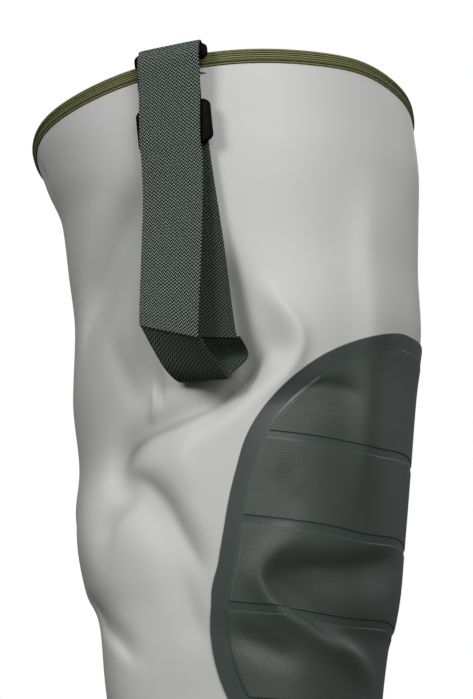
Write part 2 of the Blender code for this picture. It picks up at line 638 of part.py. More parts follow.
def strap_ring(finish, parent):
    """Rectangular ring: an eight-sided bar carried round a rectangle with round corners."""
    around = 2 * math.pi * (np.arange(24) + 0.5) / 24
    section = 2 * math.pi * (np.arange(8) + 0.5) / 8
    reach = RING_BAR / 2
    half_w, half_h = RING_WIDTH / 2 - reach, RING_HEIGHT / 2 - reach
    corner = RING_CORNER
    path_x = (half_w - corner) * np.sign(np.cos(around)) + corner * np.cos(around)
    path_z = (half_h - corner) * np.sign(np.sin(around)) + corner * np.sin(around) - half_h
    grow = reach / math.cos(math.pi / 8) * np.cos(section)
    x = path_x[:, None] + np.cos(around)[:, None] * grow
    z = path_z[:, None] + np.sin(around)[:, None] * grow
    out = np.broadcast_to(reach / math.cos(math.pi / 8) * np.sin(section), x.shape)
    turned_x, turned_z = tilted(x, z)
    centre = outer_side(RING_X, RING_TOP_HEIGHT, RING_STANDOFF)
    points = np.stack([centre[0] + turned_x, centre[1] - out, centre[2] + turned_z], axis=-1)
    return ring_solid("strap_ring", points, finish, parent)


def rounded_plate(centre, rise, width, height, thickness, corner):
    """Points and faces of a tilted upright plate with round corners, raised from the centre by rise."""
    angle = 2 * math.pi * (np.arange(16) + 0.5) / 16
    x = (width / 2 - corner) * np.sign(np.cos(angle)) + corner * np.cos(angle)
    z = rise + (height / 2 - corner) * np.sign(np.sin(angle)) + corner * np.sin(angle)
    points, faces = prism(list(zip(*tilted(x, z))), thickness / 2)
    return np.array(points) + centre, faces


def strap_slider(finish, parent):
    """Three-bar slide: a plate with round corners and two slots for the webbing."""
    centre = outer_side(STRAP_X, SLIDER_CENTRE_HEIGHT, SLIDER_STANDOFF)
    shape = rounded_plate(centre, 0.0, SLIDER_WIDTH, SLIDER_HEIGHT, SLIDER_THICKNESS, SLIDER_CORNER)
    plate = add_object("strap_slider", *shape, finish, parent)
    slot_width = STRAP_WIDTH + 4 * GAP
    for side, place in ((-1, "lower"), (1, "upper")):
        rise = side * (SLIDER_HEIGHT / 2 - SLIDER_BAR - SLIDER_SLOT / 2)
        slot = rounded_plate(centre, rise, slot_width, SLIDER_SLOT, 3 * SLIDER_THICKNESS, SLIDER_SLOT / 4)
        cut(plate, add_object("slot_cutter_" + place, *slot, None, parent))
    return plate


def main():
    for old in list(bpy.data.objects):
        bpy.data.objects.remove(old)
    wader = bpy.data.objects.new("wader", None)
    bpy.context.scene.collection.objects.link(wader)
    wader.location = LEG_AXIS
    grey_coat = material("grey_coated_fabric", (0.50, 0.50, 0.49), 0.50)
    green_sheet = material("dark_green_sheet", (0.055, 0.062, 0.053), 0.45)
    green_moulding = material("dark_green_moulding", (0.045, 0.052, 0.043), 0.40)
    black_tread = material("black_tread", (0.018, 0.019, 0.018), 0.60)
    lining = material("insole_felt", (0.10, 0.10, 0.09), 0.90)
    olive_tape = material("olive_tape", (0.13, 0.14, 0.06), 0.80)
    green_webbing = material("green_webbing", (0.06, 0.08, 0.06), 0.80)
    black_plastic = material("black_plastic", (0.010, 0.010, 0.010), 0.30)
    outsole(black_tread, wader)
    insole(lining, wader)
    boot_upper(green_moulding, wader)
    leg_shaft(grey_coat, wader)
    knee_patch(green_sheet, wader)
    hem_binding(olive_tape, wader)
    anchor_tab(green_webbing, wader)
    strap_ring(black_plastic, wader)
    strap_slider(black_plastic, wader)
    strap_webbing(green_webbing, wader)


main()
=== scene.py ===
"""Looks of the hip wader: coated leg with its folds, knee patch, bound hem, belt webbing and moulded boot.

Metres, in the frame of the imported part: +Z up, the toe along +X, the outer side of the leg towards -Y.
Sections are measured from the leg axis. Around a section the angle phi runs from the back (0 degrees)
over the outer side (90) and the front (180) to the inner side (270).
"""

import math

import bmesh
import bpy
import numpy as np
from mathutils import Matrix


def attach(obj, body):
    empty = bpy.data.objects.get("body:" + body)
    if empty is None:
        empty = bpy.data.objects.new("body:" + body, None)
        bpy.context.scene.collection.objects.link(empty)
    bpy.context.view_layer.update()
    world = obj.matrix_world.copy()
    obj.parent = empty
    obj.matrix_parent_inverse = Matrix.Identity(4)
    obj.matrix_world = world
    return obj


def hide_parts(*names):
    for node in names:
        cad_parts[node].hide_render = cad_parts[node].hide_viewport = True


bl_info = {
    "name": "Hip wader looks",
    "version": (1, 0, 0),
    "blender": (4, 5, 0),
    "location": "View3D > Sidebar > Wader",
    "description": "Builds the visible surfaces of a hip wader around its solids",
    "category": "Object",
}

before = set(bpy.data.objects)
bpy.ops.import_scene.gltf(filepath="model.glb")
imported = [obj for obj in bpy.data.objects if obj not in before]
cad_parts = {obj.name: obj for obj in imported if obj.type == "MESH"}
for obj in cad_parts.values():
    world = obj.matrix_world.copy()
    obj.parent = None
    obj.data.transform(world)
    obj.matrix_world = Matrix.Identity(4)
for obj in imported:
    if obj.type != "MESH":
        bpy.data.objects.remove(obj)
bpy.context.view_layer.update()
BODY = "root"

# Camera of the photo, which also places what is drawn on the photo's pixels
PHOTO_WIDTH, PHOTO_HEIGHT = 473, 699
PHOTO_AZIMUTH = 20.0        # from the outer side towards the toe, in degrees
PHOTO_ELEVATION = -11.5     # in degrees
PHOTO_DISTANCE = 3.0
PHOTO_LENS = 249.0          # in millimetres
PHOTO_SENSOR = 36.0         # along the photo's longer side, in millimetres
PHOTO_AIM_HEIGHT = 0.680
PHOTO_AIM_SHIFT = -0.0053

# Sizes in metres, most of them shared with the solids
LEG_AXIS = np.array([-0.0453, 0.0075, 0.0])
FOOT_LENGTH = 0.293
HEEL_BACK = 0.074
BALL_WIDTH = 0.102
INSTEP_HEIGHT = 0.120
HEEL_LIFT = 0.012
TOE_SPRING = 0.009
TOE_SWING = 0.009
OUTER_BOW = 0.003
WAIST_HOLLOW = 0.14
BOOT_WALL = 0.0024
BOOT_COLLAR_HEIGHT = 0.300
LEG_WALL = 0.0010
LEG_FOOT_HEIGHT = 0.272
GAP = 0.0003
HEM_HEIGHT = 0.8195
HEM_RISE_FORWARD = 0.158
HEM_RISE_OUTWARD = 0.188
HEM_DEPTH = 0.0070
HEM_WALL = 0.0012
HEM_WAVES = ((34.0, 0.0026, 20.0), (156.0, 0.0018, 15.0))
HEM_CORNER = 0.0010
HEM_LIP = 0.0030                # height of the tape's thinned lower edge
HEM_LIP_TAPER = 0.0007          # how much thinner it is at its end
HEM_LIP_ROUND = 0.0008
HEM_LIP_DROP = 0.0002
HEM_RIB_PITCH = 0.0015
HEM_RADIUS = 0.115              # turns a length along the hem into an angle
STITCH_PITCH = 0.0024
STITCH_LENGTH = 0.0017
STITCH_RADIUS = 0.0003
STITCH_RISE = 0.0016            # above the tape's lower edge
STITCH_SINK = 0.0001            # into the tape's face
FEATHER_HEIGHT = 0.0138
INSOLE_THICKNESS = 0.0040
INSOLE_CORNER = 0.0012
PATCH_CENTRE = 0.545
PATCH_RISE = 0.134
PATCH_DROP = 0.150
PATCH_HALF_WIDTH = 0.1308
PATCH_BORDER = 0.0105
PATCH_ROUNDNESS = 2.3
PATCH_SHEET = 0.0009
PATCH_STEP = 0.0005
PATCH_TUCK = 0.0007             # how far the leg draws in under the patch
PATCH_TUCK_EDGE = 0.004
PATCH_RIM = 0.0005              # length over which the patch's edge is rounded
PANEL_LEAST = 0.30              # shares of the patch's half width that the panel and its step keep to
STEP_OUTER, STEP_INNER = 0.97, 0.94
BAND_HEIGHTS = (0.6050, 0.5530, 0.5020, 0.4480)
BAND_WIDTH = 0.0050
BAND_RISE, BAND_SAG = 0.0062, 0.0024     # the bands rise towards both sides and sag beside the shin
SAG_PLACE, SAG_REACH = 0.30, 0.19        # shares of the patch's half width
STRAP_THICKNESS = 0.0016
STRAP_X = -0.0035
HARDWARE_TILT = math.radians(6.0)
RING_X = -0.0070
RING_WIDTH = 0.0475
RING_HEIGHT = 0.0106
RING_BAR = 0.0032
RING_END = 0.0062
RING_CORNER = 0.0022
RING_TOP_HEIGHT = 0.84315
RING_STANDOFF = 0.0056
SLIDER_WIDTH = 0.0480
SLIDER_HEIGHT = 0.0270
SLIDER_CENTRE_HEIGHT = 0.7960
SLIDER_STANDOFF = 0.0075
SLIDER_THICKNESS = 0.0032
SLIDER_CORNER = 0.0045
SLIDER_SLOT = 0.0064
SLIDER_BAR = 0.0042
SLIDER_END = 0.0078
MIDDLE_BAR_HALF = 0.45          # half thickness of the middle bar, as a share of the slider's thickness
BAR_POWER = 0.45                # powers of the sine and cosine in squared-off sections
TAPE_EDGE_POWER, TAPE_FACE_POWER = 0.55, 0.35
TAB_WIDTH = 0.0300
TAB_THICKNESS = 0.0012
TACK_ANGLES = (84.5, 104.0)     # where the bar of thread across the tab ends, in degrees
TACK_HEIGHT = 0.8300
TACK_RADIUS = 0.0006
TACK_PITCH = 0.0010
TACK_RIDGE = 0.15               # height of the ridges, as a share of the radius
TACK_RAMP = 0.0030              # length over which the bar comes down from the tab to the leg
TAB_FRONT = 0.0034              # stand-off of the tab's outer face at the bar

# Runs of the boot's shape: start and length, as shares of the foot's length
HEEL_SEAT = (0.22, 0.36)
TOE_RISE = (0.72, 0.28)
WIDENING = (0.22, 0.42)
BOW_RUN = (0.25, 0.55)
SWING_RUN = (0.60, 0.40)
WAIST = (0.42, 0.12)            # middle and reach of the inner waist
WAIST_FADE = (0.35, 0.40)       # as shares of the instep height
LIFT_FADE = (0.045, 0.100)      # heights in metres over which the lift fades out

BOOT_COLUMNS = ("rise", "back", "front", "heel", "ball", "bluntness")
BOOT_SECTIONS = (
    (0.115, 0.012, 0.978, 0.69, 0.960, 0.62),
    (0.200, 0.000, 0.997, 0.73, 1.000, 0.60),
    (0.320, 0.000, 1.000, 0.73, 0.985, 0.62),
    (0.420, 0.000, 0.983, 0.72, 0.930, 0.66),
    (0.480, 0.003, 0.955, 0.70, 0.870, 0.70),
    (0.530, 0.005, 0.910, 0.70, 0.800, 0.76),
    (0.580, 0.007, 0.845, 0.69, 0.745, 0.84),
    (0.650, 0.010, 0.765, 0.68, 0.715, 0.90),
    (0.750, 0.014, 0.672, 0.68, 0.700, 0.95),
    (0.870, 0.020, 0.590, 0.69, 0.715, 1.00),
    (1.000, 0.027, 0.535, 0.72, 0.750, 1.00),
    (1.170, 0.032, 0.502, 0.77, 0.800, 1.00),
    (1.380, 0.034, 0.487, 0.85, 0.870, 1.00),
    (1.670, 0.031, 0.484, 0.985, 0.985, 1.00),
    (2.000, 0.024, 0.488, 1.120, 1.120, 1.00),
)

LEG_COLUMNS = ("height", "back", "front", "half_width")
LEG_SECTIONS = (
    (0.262, 0.0697, 0.0708, 0.0628),
    (0.300, 0.0717, 0.0727, 0.0662),
    (0.380, 0.0745, 0.0785, 0.0705),
    (0.440, 0.0790, 0.0808, 0.0765),
    (0.490, 0.0845, 0.0858, 0.0840),
    (0.507, 0.0880, 0.0908, 0.0870),
    (0.527, 0.0975, 0.0943, 0.0905),
    (0.550, 0.1025, 0.0963, 0.0935),
    (0.578, 0.1050, 0.0988, 0.0955),
    (0.602, 0.1030, 0.1008, 0.0965),
    (0.648, 0.1075, 0.1048, 0.0990),
    (0.690, 0.1062, 0.1098, 0.1020),
    (0.728, 0.1105, 0.1080, 0.1045),
    (0.760, 0.1150, 0.1085, 0.1065),
    (0.785, 0.1260, 0.1092, 0.1075),
    (0.812, 0.1345, 0.1066, 0.1080),
    (0.860, 0.1360, 0.0985, 0.1080),
)

# The strap's two edges: shift along X from the strap's middle, stand-off from the leg, and height
STRAP_ROUTE = (
    (-0.0228, 0.0046, 0.7960, 0.0172, 0.0046, 0.8000),
    (-0.0237, 0.0046, 0.8109, 0.0161, 0.0046, 0.8151),
    (-0.0238, 0.0060, 0.8179, 0.0159, 0.0060, 0.8221),
    (-0.0236, 0.0088, 0.8254, 0.0160, 0.0088, 0.8296),
    (-0.0230, 0.0101, 0.8314, 0.0165, 0.0101, 0.8356),
    (-0.0232, 0.0101, 0.8344, 0.0162, 0.0101, 0.8386),
    (-0.0232, 0.0088, 0.8371, 0.0162, 0.0088, 0.8413),
    (-0.0232, 0.0056, 0.8380, 0.0162, 0.0056, 0.8422),
    (-0.0232, 0.0031, 0.8391, 0.0162, 0.0031, 0.8433),
    (-0.0232, 0.0027, 0.8410, 0.0162, 0.0027, 0.8452),
    (-0.0232, 0.0035, 0.8431, 0.0162, 0.0035, 0.8473),
    (-0.0232, 0.0056, 0.8440, 0.0162, 0.0056, 0.8482),
    (-0.0232, 0.0077, 0.8431, 0.0162, 0.0077, 0.8473),
    (-0.0230, 0.0088, 0.8410, 0.0164, 0.0088, 0.8452),
    (-0.0227, 0.0105, 0.8386, 0.0167, 0.0105, 0.8428),
    (-0.0223, 0.0122, 0.8349, 0.0171, 0.0122, 0.8391),
    (-0.0220, 0.0122, 0.8299, 0.0175, 0.0122, 0.8341),
    (-0.0216, 0.0117, 0.8230, 0.0179, 0.0117, 0.8250),
    (-0.0216, 0.0111, 0.8120, 0.0179, 0.0111, 0.8120),
    (-0.0216, 0.0107, 0.7950, 0.0178, 0.0110, 0.7950),
    (-0.0214, 0.0106, 0.7840, 0.0182, 0.0112, 0.7840),
    (-0.0206, 0.0098, 0.7740, 0.0193, 0.0112, 0.7740),
    (-0.0200, 0.0100, 0.7500, 0.0196, 0.0128, 0.7500),
    (-0.0200, 0.0155, 0.7100, 0.0194, 0.0180, 0.7080),
    (-0.0198, 0.0204, 0.6770, 0.0186, 0.0232, 0.6675),
    (-0.0183, 0.0197, 0.6710, 0.0200, 0.0220, 0.6615),
    (-0.0085, 0.0128, 0.6497, 0.0280, 0.0118, 0.6462),
    (-0.0025, 0.0050, 0.6416, 0.0312, 0.0060, 0.6408),
    (0.0020, 0.0022, 0.6422, 0.0330, 0.0030, 0.6452),
    (0.0030, -0.0018, 0.6520, 0.0388, -0.0078, 0.6560),
    (-0.0015, 0.0026, 0.6680, 0.0382, 0.0026, 0.6650),
    (-0.0045, 0.0034, 0.6740, 0.0351, 0.0034, 0.6700),
    (-0.0105, 0.0032, 0.7250, 0.0291, 0.0032, 0.7210),
    (-0.0175, 0.0038, 0.7700, 0.0223, 0.0038, 0.7720),
    (-0.0205, 0.0046, 0.7925, 0.0195, 0.0046, 0.7965),
)

# Row of the route at which the strap turns under, and the rows that the turn takes. Past the turn, on the
# foot's underside and the rear ply, the light thread is darkened as painted shade
STRAP_FOLD_ROW, STRAP_FOLD_ROWS = 24.3, 0.6

# Profile of the anchor tab up to the ring: stand-off from the leg's outer face, and height
TAB_PROFILE = ((0.0011, 0.8170), (0.0013, 0.8220), (0.0024, 0.8262), (0.0026, 0.8320))

# Turn of the tab's middle line round the ring's lower bar, from the leg's side over the top, in degrees
TAB_TURN = (180, 135, 90, 45, 0, -45, -86)
TAB_TURN_RADIUS = 0.0026
TAB_TURN_HEIGHT = RING_TOP_HEIGHT - RING_HEIGHT + RING_BAR

# Folds drawn on the photo: depth in millimetres (a trough is below zero), softness in millimetres on the
# left and on the right of the line, and the line itself in the photo's pixels
PHOTO_FOLDS = (
    ("above_knee", -4.6, 11.0, 12.0, ((124, 506), (118, 482), (123, 457), (142, 438), (176, 423), (208, 407),
                                      (236, 388), (258, 370))),
    ("crease_end", -2.6, 8.0, 8.0, ((140, 500), (122, 482), (119, 470), (122, 458), (142, 438))),
    ("pocket", -8.6, 10.0, 6.5, ((198, 413), (219, 399), (238, 383), (253, 366), (260, 345))),
    ("pocket_ridge", 2.8, 5.5, 7.5, ((250, 270), (281, 304), (301, 338), (286, 374), (248, 406))),
    ("pocket_dish", -1.2, 7.0, 7.0, ((266, 328), (285, 351), (284, 364))),
    ("hollow_side", -4.4, 6.0, 8.0, ((252, 388), (244, 348), (237, 312), (228, 270), (219, 226))),
    ("hollow_wide", -3.6, 13.0, 15.0, ((266, 392), (259, 350), (248, 306), (236, 266))),
    ("knee_ridge", 1.3, 7.0, 11.0, ((170, 437), (210, 421), (254, 396), (291, 366), (301, 340), (276, 300))),
    ("outer_calf", -6.3, 10.0, 18.0, ((112, 477), (136, 484), (158, 502), (175, 531), (191, 559),
                                      (208, 587))),
    ("calf_valley", -2.2, 9.0, 9.0, ((120, 492), (112, 524), (110, 550), (112, 572))),
    ("beside_patch", -2.4, 9.0, 12.0, ((176, 560), (188, 607), (206, 650))),
    ("between_creases", 1.8, 8.0, 12.0, ((190, 422), (181, 450), (183, 474), (190, 492))),
    ("lobe_valley", -1.6, 5.0, 5.0, ((134, 497), (118, 518), (108, 543))),
    ("back_crease", -3.0, 9.0, 5.0, ((96, 590), (110, 618), (131, 641), (152, 668))),
    ("beside_strap", -1.6, 8.0, 8.0, ((106, 330), (126, 371), (145, 410))),
    ("short_crease", -1.1, 2.4, 2.4, ((157, 360), (160, 385), (160, 410))),
    ("short_ridge", 1.5, 2.8, 2.8, ((154, 386), (154, 406), (148, 424))),
    ("back_thigh", -12.0, 22.0, 13.0, ((150, 182), (120, 225), (98, 270), (88, 310), (85, 345))),
    ("front_ridge", 4.2, 20.0, 12.0, ((374, 150), (369, 243), (374, 316), (367, 410), (357, 535))),
    ("knee_roll", 3.4, 7.0, 9.0, ((320, 534), (280, 546), (258, 576), (285, 609), (330, 643), (374, 686))),
    ("knee_hollow", -6.5, 17.0, 5.0, ((266, 572), (280, 594), (312, 618), (342, 643))),
    ("hollow_top", -4.5, 9.0, 16.0, ((266, 578), (312, 571), (350, 571), (396, 562))),
    ("under_roll", -3.0, 8.0, 9.0, ((226, 630), (264, 646), (300, 664))),
    ("patch_arc", -2.2, 6.0, 13.0, ((294, 396), (330, 387), (361, 402))),
    ("mid_panel", -1.0, 6.0, 7.0, ((284, 462), (286, 490), (304, 514))),
)

# Folds at the photo's edge and on the other sides: the same, with the line as angle in degrees and height
FOLDS = (
    ("hem_crease", -1.6, 4.0, 5.0, ((26.0, 0.812), (26.0, 0.794), (26.5, 0.780), (24.5, 0.767),
                                    (21.0, 0.752))),
    ("ankle_front", -2.4, 7.0, 9.0, ((120.0, 0.352), (145.0, 0.338), (175.0, 0.334), (205.0, 0.342),
                                     (232.0, 0.358))),
    ("ankle_front_low", -1.8, 6.0, 7.0, ((140.0, 0.312), (165.0, 0.305), (195.0, 0.306), (220.0, 0.316))),
    ("shin_outer", -2.2, 9.0, 8.0, ((70.0, 0.436), (82.0, 0.420), (90.0, 0.398), (94.0, 0.370))),
    ("heel_side", -2.2, 8.0, 7.0, ((10.0, 0.372), (28.0, 0.360), (50.0, 0.340), (72.0, 0.330))),
    ("behind_knee", -3.8, 8.0, 7.0, ((-42.0, 0.562), (-20.0, 0.553), (0.0, 0.552), (20.0, 0.556),
                                     (38.0, 0.566))),
    ("behind_knee_low", -2.8, 7.0, 6.0, ((-36.0, 0.520), (-14.0, 0.512), (8.0, 0.508), (30.0, 0.514))),
    ("inner_knee", -3.6, 8.0, 7.0, ((228.0, 0.648), (246.0, 0.628), (264.0, 0.612), (284.0, 0.604),
                                    (302.0, 0.604))),
    ("inner_calf", -3.0, 7.0, 8.0, ((246.0, 0.540), (262.0, 0.562), (280.0, 0.574), (300.0, 0.578))),
    ("inner_thigh", -3.4, 14.0, 13.0, ((262.0, 0.792), (272.0, 0.752), (284.0, 0.712), (300.0, 0.676))),
    ("inner_shin", -2.2, 8.0, 9.0, ((262.0, 0.462), (276.0, 0.436), (284.0, 0.404), (288.0, 0.374))),
    ("inner_ankle", -2.0, 7.0, 7.0, ((286.0, 0.346), (306.0, 0.336), (330.0, 0.342), (352.0, 0.360))),
)

# Soft dents and bulges: depth in millimetres, angle, height, and reach in millimetres around and up the leg
DENTS = (
    ("outer_hollow", -5.5, 102.0, 0.653, 26.0, 20.0),
    ("back_roll", 8.0, 48.0, 0.556, 26.0, 34.0),
    ("calf_lobe", 12.0, 52.0, 0.466, 38.0, 60.0),
    ("front_flat", -3.4, 124.0, 0.735, 44.0, 56.0),
    ("front_corner", 1.4, 164.0, 0.740, 26.0, 46.0),
    ("inner_bulge", 1.6, 268.0, 0.690, 34.0, 26.0),
)

# Painted shade along sharp creases: share at the line, softness on both sides in millimetres, line in pixels
PAINTED_SHADE_LINES = (
    ("knee_crease", 0.36, 2.2, 2.8, ((119, 486), (123, 457), (142, 438), (176, 423), (208, 407),
                                     (248, 382))),
    ("pocket_shade", 0.75, 7.0, 3.2, ((204, 405), (228, 390), (248, 373), (258, 353))),
)

# Lights: name, azimuth from the outer side towards the toe, elevation, distance, size and power
LIGHTS = (
    ("right_box", 39.0, 25.0, 2.6, 1.6, 47.0),
    ("left_box", -17.0, 21.0, 2.6, 0.9, 31.0),
    ("back_fill", -165.0, 30.0, 3.0, 2.0, 26.0),
    ("inner_fill", 140.0, 30.0, 3.0, 2.0, 14.0),
)

WEAVE_COLUMN = 0.0013       # width of one slanted column of the webbing
WEAVE_PITCH = 0.0021        # one thread and one gap along the webbing
CREASE_STEPS = 14           # points between two rows of a fold's line
FOLD_TAPER = 0.28           # share of a fold's line over which it fades at each end
SOLVE_ROUNDS = 12           # rounds of repeated substitution
SIDE_BLEND = 1.4            # part of a fold's smaller softness over which one side passes into the other
FOLD_RADIUS = 0.098         # turns an angle round the leg into a length
NARROW_FOLD = 8.0           # softness up to which a trough gets painted shade, in millimetres
FULL_SHADE_DEPTH = 0.0075       # depth of a narrow trough that gets the full painted shade
HEM_STILL = 0.016           # length below the hem over which the folds fade out
FOOT_STILL = 0.020          # the same above the leg's lower edge
MILLI = 0.001
FINE_AROUND = (0.08, 0.48, 2.6)     # shares between which the leg's mesh is finer, and how much finer
FINE_UP = (0.34, 0.74, 2.2)
FINE_EDGE = 0.04            # share over which the mesh gets finer
SHARP_EDGE = math.radians(50.0)
TAPE_THREAD = 0.0009        # spacing of the cross threads on the binding tape
EMBOSS_PITCH = 0.0017       # spacing of the diamonds on the knee panels
FLOOR_REACH = 4.0
FLOOR_FADE = (0.06, 0.9)    # squared distances from the middle between which the floor fades out
AMBIENT_LOW, AMBIENT_RISE = 0.2, 0.95   # light of the surroundings from below, and how much more from above


# Curves and sections

def column(table, columns, name):
    return np.array([row[columns.index(name)] for row in table])


def ease(t):
    """Smooth step: 3 t squared minus 2 t cubed between 0 and 1."""
    t = np.clip(t, 0, 1)
    return t * t * (3 - 2 * t)


def smooth(places, values, at):
    """Cubic through the rows whose tangent is the harmonic mean of the neighbouring slopes, so that it keeps
    the rises and falls of the table."""
    places, values = np.asarray(places, float), np.asarray(values, float)
    step = np.diff(places)
    slope = np.diff(values) / step
    rising = slope[:-1] * slope[1:] > 0
    middle = np.where(rising, 2 * slope[:-1] * slope[1:] / (slope[:-1] + slope[1:] + 1e-30), 0)
    tangent = np.concatenate([[slope[0]], middle, [slope[-1]]])
    at = np.clip(np.asarray(at, float), places[0], places[-1])
    i = np.clip(np.searchsorted(places, at) - 1, 0, len(step) - 1)
    t = (at - places[i]) / step[i]
    return (values[i] * (1 + 2 * t) * (1 - t) ** 2 + tangent[i] * step[i] * t * (1 - t) ** 2
            + values[i + 1] * t * t * (3 - 2 * t) + tangent[i + 1] * step[i] * t * t * (t - 1))


def through_points(points, steps):
    """Catmull-Rom curve: each stretch is a cubic whose end tangents are half the step between neighbours."""
    points = np.asarray(points, float)
    padded = np.concatenate([2 * points[:1] - points[1:2], points, 2 * points[-1:] - points[-2:-1]])
    a, b, c, d = (padded[k:len(padded) - 3 + k, None, :] for k in range(4))
    t = (np.arange(steps) / steps)[None, :, None]
    found = 0.5 * (2 * b + (c - a) * t + (2 * a - 5 * b + 4 * c - d) * t ** 2
                   + (3 * b - a - 3 * c + d) * t ** 3)
    return np.concatenate([found.reshape(-1, points.shape[1]), points[-1:]])


def leg_section(height):
    """Middle along X, half length and half width of the leg's ellipse at a height."""
    heights = column(LEG_SECTIONS, LEG_COLUMNS, "height")
    back, front, half_width = (smooth(heights, column(LEG_SECTIONS, LEG_COLUMNS, name), height)
                               for name in LEG_COLUMNS[1:])
    return (front - back) / 2, (back + front) / 2, half_width


def leg_point(phi, height, offset=0.0):
    """Ellipse between the back, front and side reaches at each height, moved out along its normal."""
    middle, half_length, half_width = leg_section(height)
    out_x, out_y = -half_width * np.cos(phi), -half_length * np.sin(phi)
    length = np.hypot(out_x, out_y)
    x = middle - half_length * np.cos(phi) + offset * out_x / length
    y = -half_width * np.sin(phi) + offset * out_y / length
    return np.stack(np.broadcast_arrays(x, y, height), axis=-1)


def hem_height(phi):
    """Height where the leg's surface meets the slanted plane of the hem, found by repeated substitution,
    with bell curves of the angle added for the hem's soft waves."""
    height = np.full(np.shape(phi), HEM_HEIGHT)
    for _ in range(SOLVE_ROUNDS):
        point = leg_point(phi, height)
        height = HEM_HEIGHT + HEM_RISE_FORWARD * point[..., 0] - HEM_RISE_OUTWARD * point[..., 1]
    for angle, rise, reach in HEM_WAVES:
        height = height + rise * np.exp(-((np.degrees(phi) - angle) / reach) ** 2)
    return height


def view_axes(azimuth, elevation):
    """Directions to the right, up and back of what looks at the leg from these angles."""
    a, e = math.radians(azimuth), math.radians(elevation)
    right = np.array([math.cos(a), math.sin(a), 0.0])
    back = np.array([math.sin(a) * math.cos(e), -math.cos(a) * math.cos(e), math.sin(e)])
    return right, np.cross(back, right), back


def seen_on_leg(pixels):
    """Length round the leg and height of pixels of the photo: the camera's ray is cut with the leg's ellipse
    at the height where the round before met it. A ray that misses the ellipse takes its nearest place."""
    right, up, back = view_axes(PHOTO_AZIMUTH, PHOTO_ELEVATION)
    start = PHOTO_AIM_SHIFT * right + np.array([0, 0, PHOTO_AIM_HEIGHT]) + PHOTO_DISTANCE * back
    focal = PHOTO_LENS / PHOTO_SENSOR * PHOTO_HEIGHT
    across, down = (np.array(pixels) - (PHOTO_WIDTH / 2, PHOTO_HEIGHT / 2)).T / focal
    ray = across[:, None] * right - down[:, None] * up - back
    height = np.full(len(ray), PHOTO_AIM_HEIGHT)
    for _ in range(SOLVE_ROUNDS):
        middle, half_length, half_width = leg_section(height)
        from_x, from_y = (start[0] - middle) / half_length, start[1] / half_width
        way_x, way_y = ray[:, 0] / half_length, ray[:, 1] / half_width
        square, product = way_x ** 2 + way_y ** 2, from_x * way_x + from_y * way_y
        inside = np.maximum(product ** 2 - square * (from_x ** 2 + from_y ** 2 - 1), 0)
        reach = -(product + np.sqrt(inside)) / square
        height = start[2] + reach * ray[:, 2]
    phi = np.arctan2(-from_y - reach * way_y, -from_x - reach * way_x) % (2 * math.pi)
    return np.stack([phi * FOLD_RADIUS, height], axis=-1)


def round_leg(line):
    """Length round the leg and height of places given by angle and height."""
    return [(math.radians(angle) * FOLD_RADIUS, height) for angle, height in line]


def placed(rows, find):
    """Rows of a table with their lines found on the leg."""
    return [row[:-1] + (find(row[-1]),) for row in rows]


def all_folds():
    """Folds of both tables, with their lines as lengths round the leg and heights."""
    return placed(PHOTO_FOLDS, seen_on_leg) + placed(FOLDS, round_leg)


def fold_line(around, height, row):
    """One fold: bell curves of the distance, softer or harder on each side, set close together along its
    line and summed, with less weight towards both ends."""
    _, depth, left, right, line = row
    points = through_points(line, CREASE_STEPS)
    step = np.gradient(points, axis=0)
    lengths = np.linalg.norm(step, axis=-1)
    share = along(points) / along(points)[-1]
    weights = lengths * ease(share / FOLD_TAPER) * ease((1 - share) / FOLD_TAPER)
    turn = 2 * math.pi * FOLD_RADIUS
    middle = points[:, 0].mean()
    u = (around - middle + turn / 2) % turn - turn / 2 + middle
    found = np.zeros(around.shape)
    for point, way, weight in zip(points, step / lengths[:, None], weights):
        du, dz = u - point[0], height - point[1]
        lefthand = ease((way[0] * dz - way[1] * du) / (SIDE_BLEND * min(left, right) * MILLI) + 0.5)
        soft = (right + (left - right) * lefthand) * MILLI
        found = found + weight / (soft * math.sqrt(math.pi)) * np.exp(-(du ** 2 + dz ** 2) / soft ** 2)
    return depth * MILLI * found


def leg_folds(phi, height, gain):
    """Sum of all folds and dents, faded out towards the hem and the lower edge and scaled by gain."""
    phi, height = np.broadcast_arrays(phi, height)
    around = phi * FOLD_RADIUS
    total = sum(fold_line(around, height, row) for row in all_folds())
    for _, depth, angle, level, reach_around, reach_up in DENTS:
        turn = (phi - math.radians(angle) + math.pi) % (2 * math.pi) - math.pi
        across, up = turn * FOLD_RADIUS / (reach_around * MILLI), (height - level) / (reach_up * MILLI)
        total = total + depth * MILLI * np.exp(-across ** 2 - up ** 2)
    below_hem = hem_height(phi) - HEM_DEPTH - height
    still = ease(below_hem / HEM_STILL) * ease((height - LEG_FOOT_HEIGHT) / FOOT_STILL)
    return gain * total * still


def painted_crease_shade(phi, height):
    """Painted shade from 0 to 1, which darkens the coating: the summed depth of the narrow troughs, over the
    depth that gets the full shade, and the painted shade lines."""
    phi, height = np.broadcast_arrays(phi, height)
    narrow = [row for row in all_folds() if row[1] < 0 and max(row[2], row[3]) <= NARROW_FOLD]
    depth = -sum(fold_line(phi * FOLD_RADIUS, height, row) for row in narrow)
    lines = sum(fold_line(phi * FOLD_RADIUS, height, row) for row in placed(PAINTED_SHADE_LINES, seen_on_leg))
    return np.clip(ease(depth / FULL_SHADE_DEPTH) + lines / MILLI, 0, 1)


def spaced(count, low, high, gain):
    """Places from 0 to 1 that lie closer by gain between low and high: the inverse of a summed density."""
    fine = np.linspace(0, 1, 4001)
    risen, fallen = ease((fine - low) / FINE_EDGE + 0.5), ease((high - fine) / FINE_EDGE + 0.5)
    density = 1 + (gain - 1) * risen * fallen
    total = np.concatenate([[0], np.cumsum((density[1:] + density[:-1]) / 2)])
    return np.interp(np.linspace(0, total[-1], count), total, fine)


def passed(place, run):
    """Share of a run, given by its start and its length, that lies before a place."""
    return (place - run[0]) / run[1]


def foot_share(x):
    """Share of the foot's length, from the heel."""
    return (x + HEEL_BACK) / FOOT_LENGTH


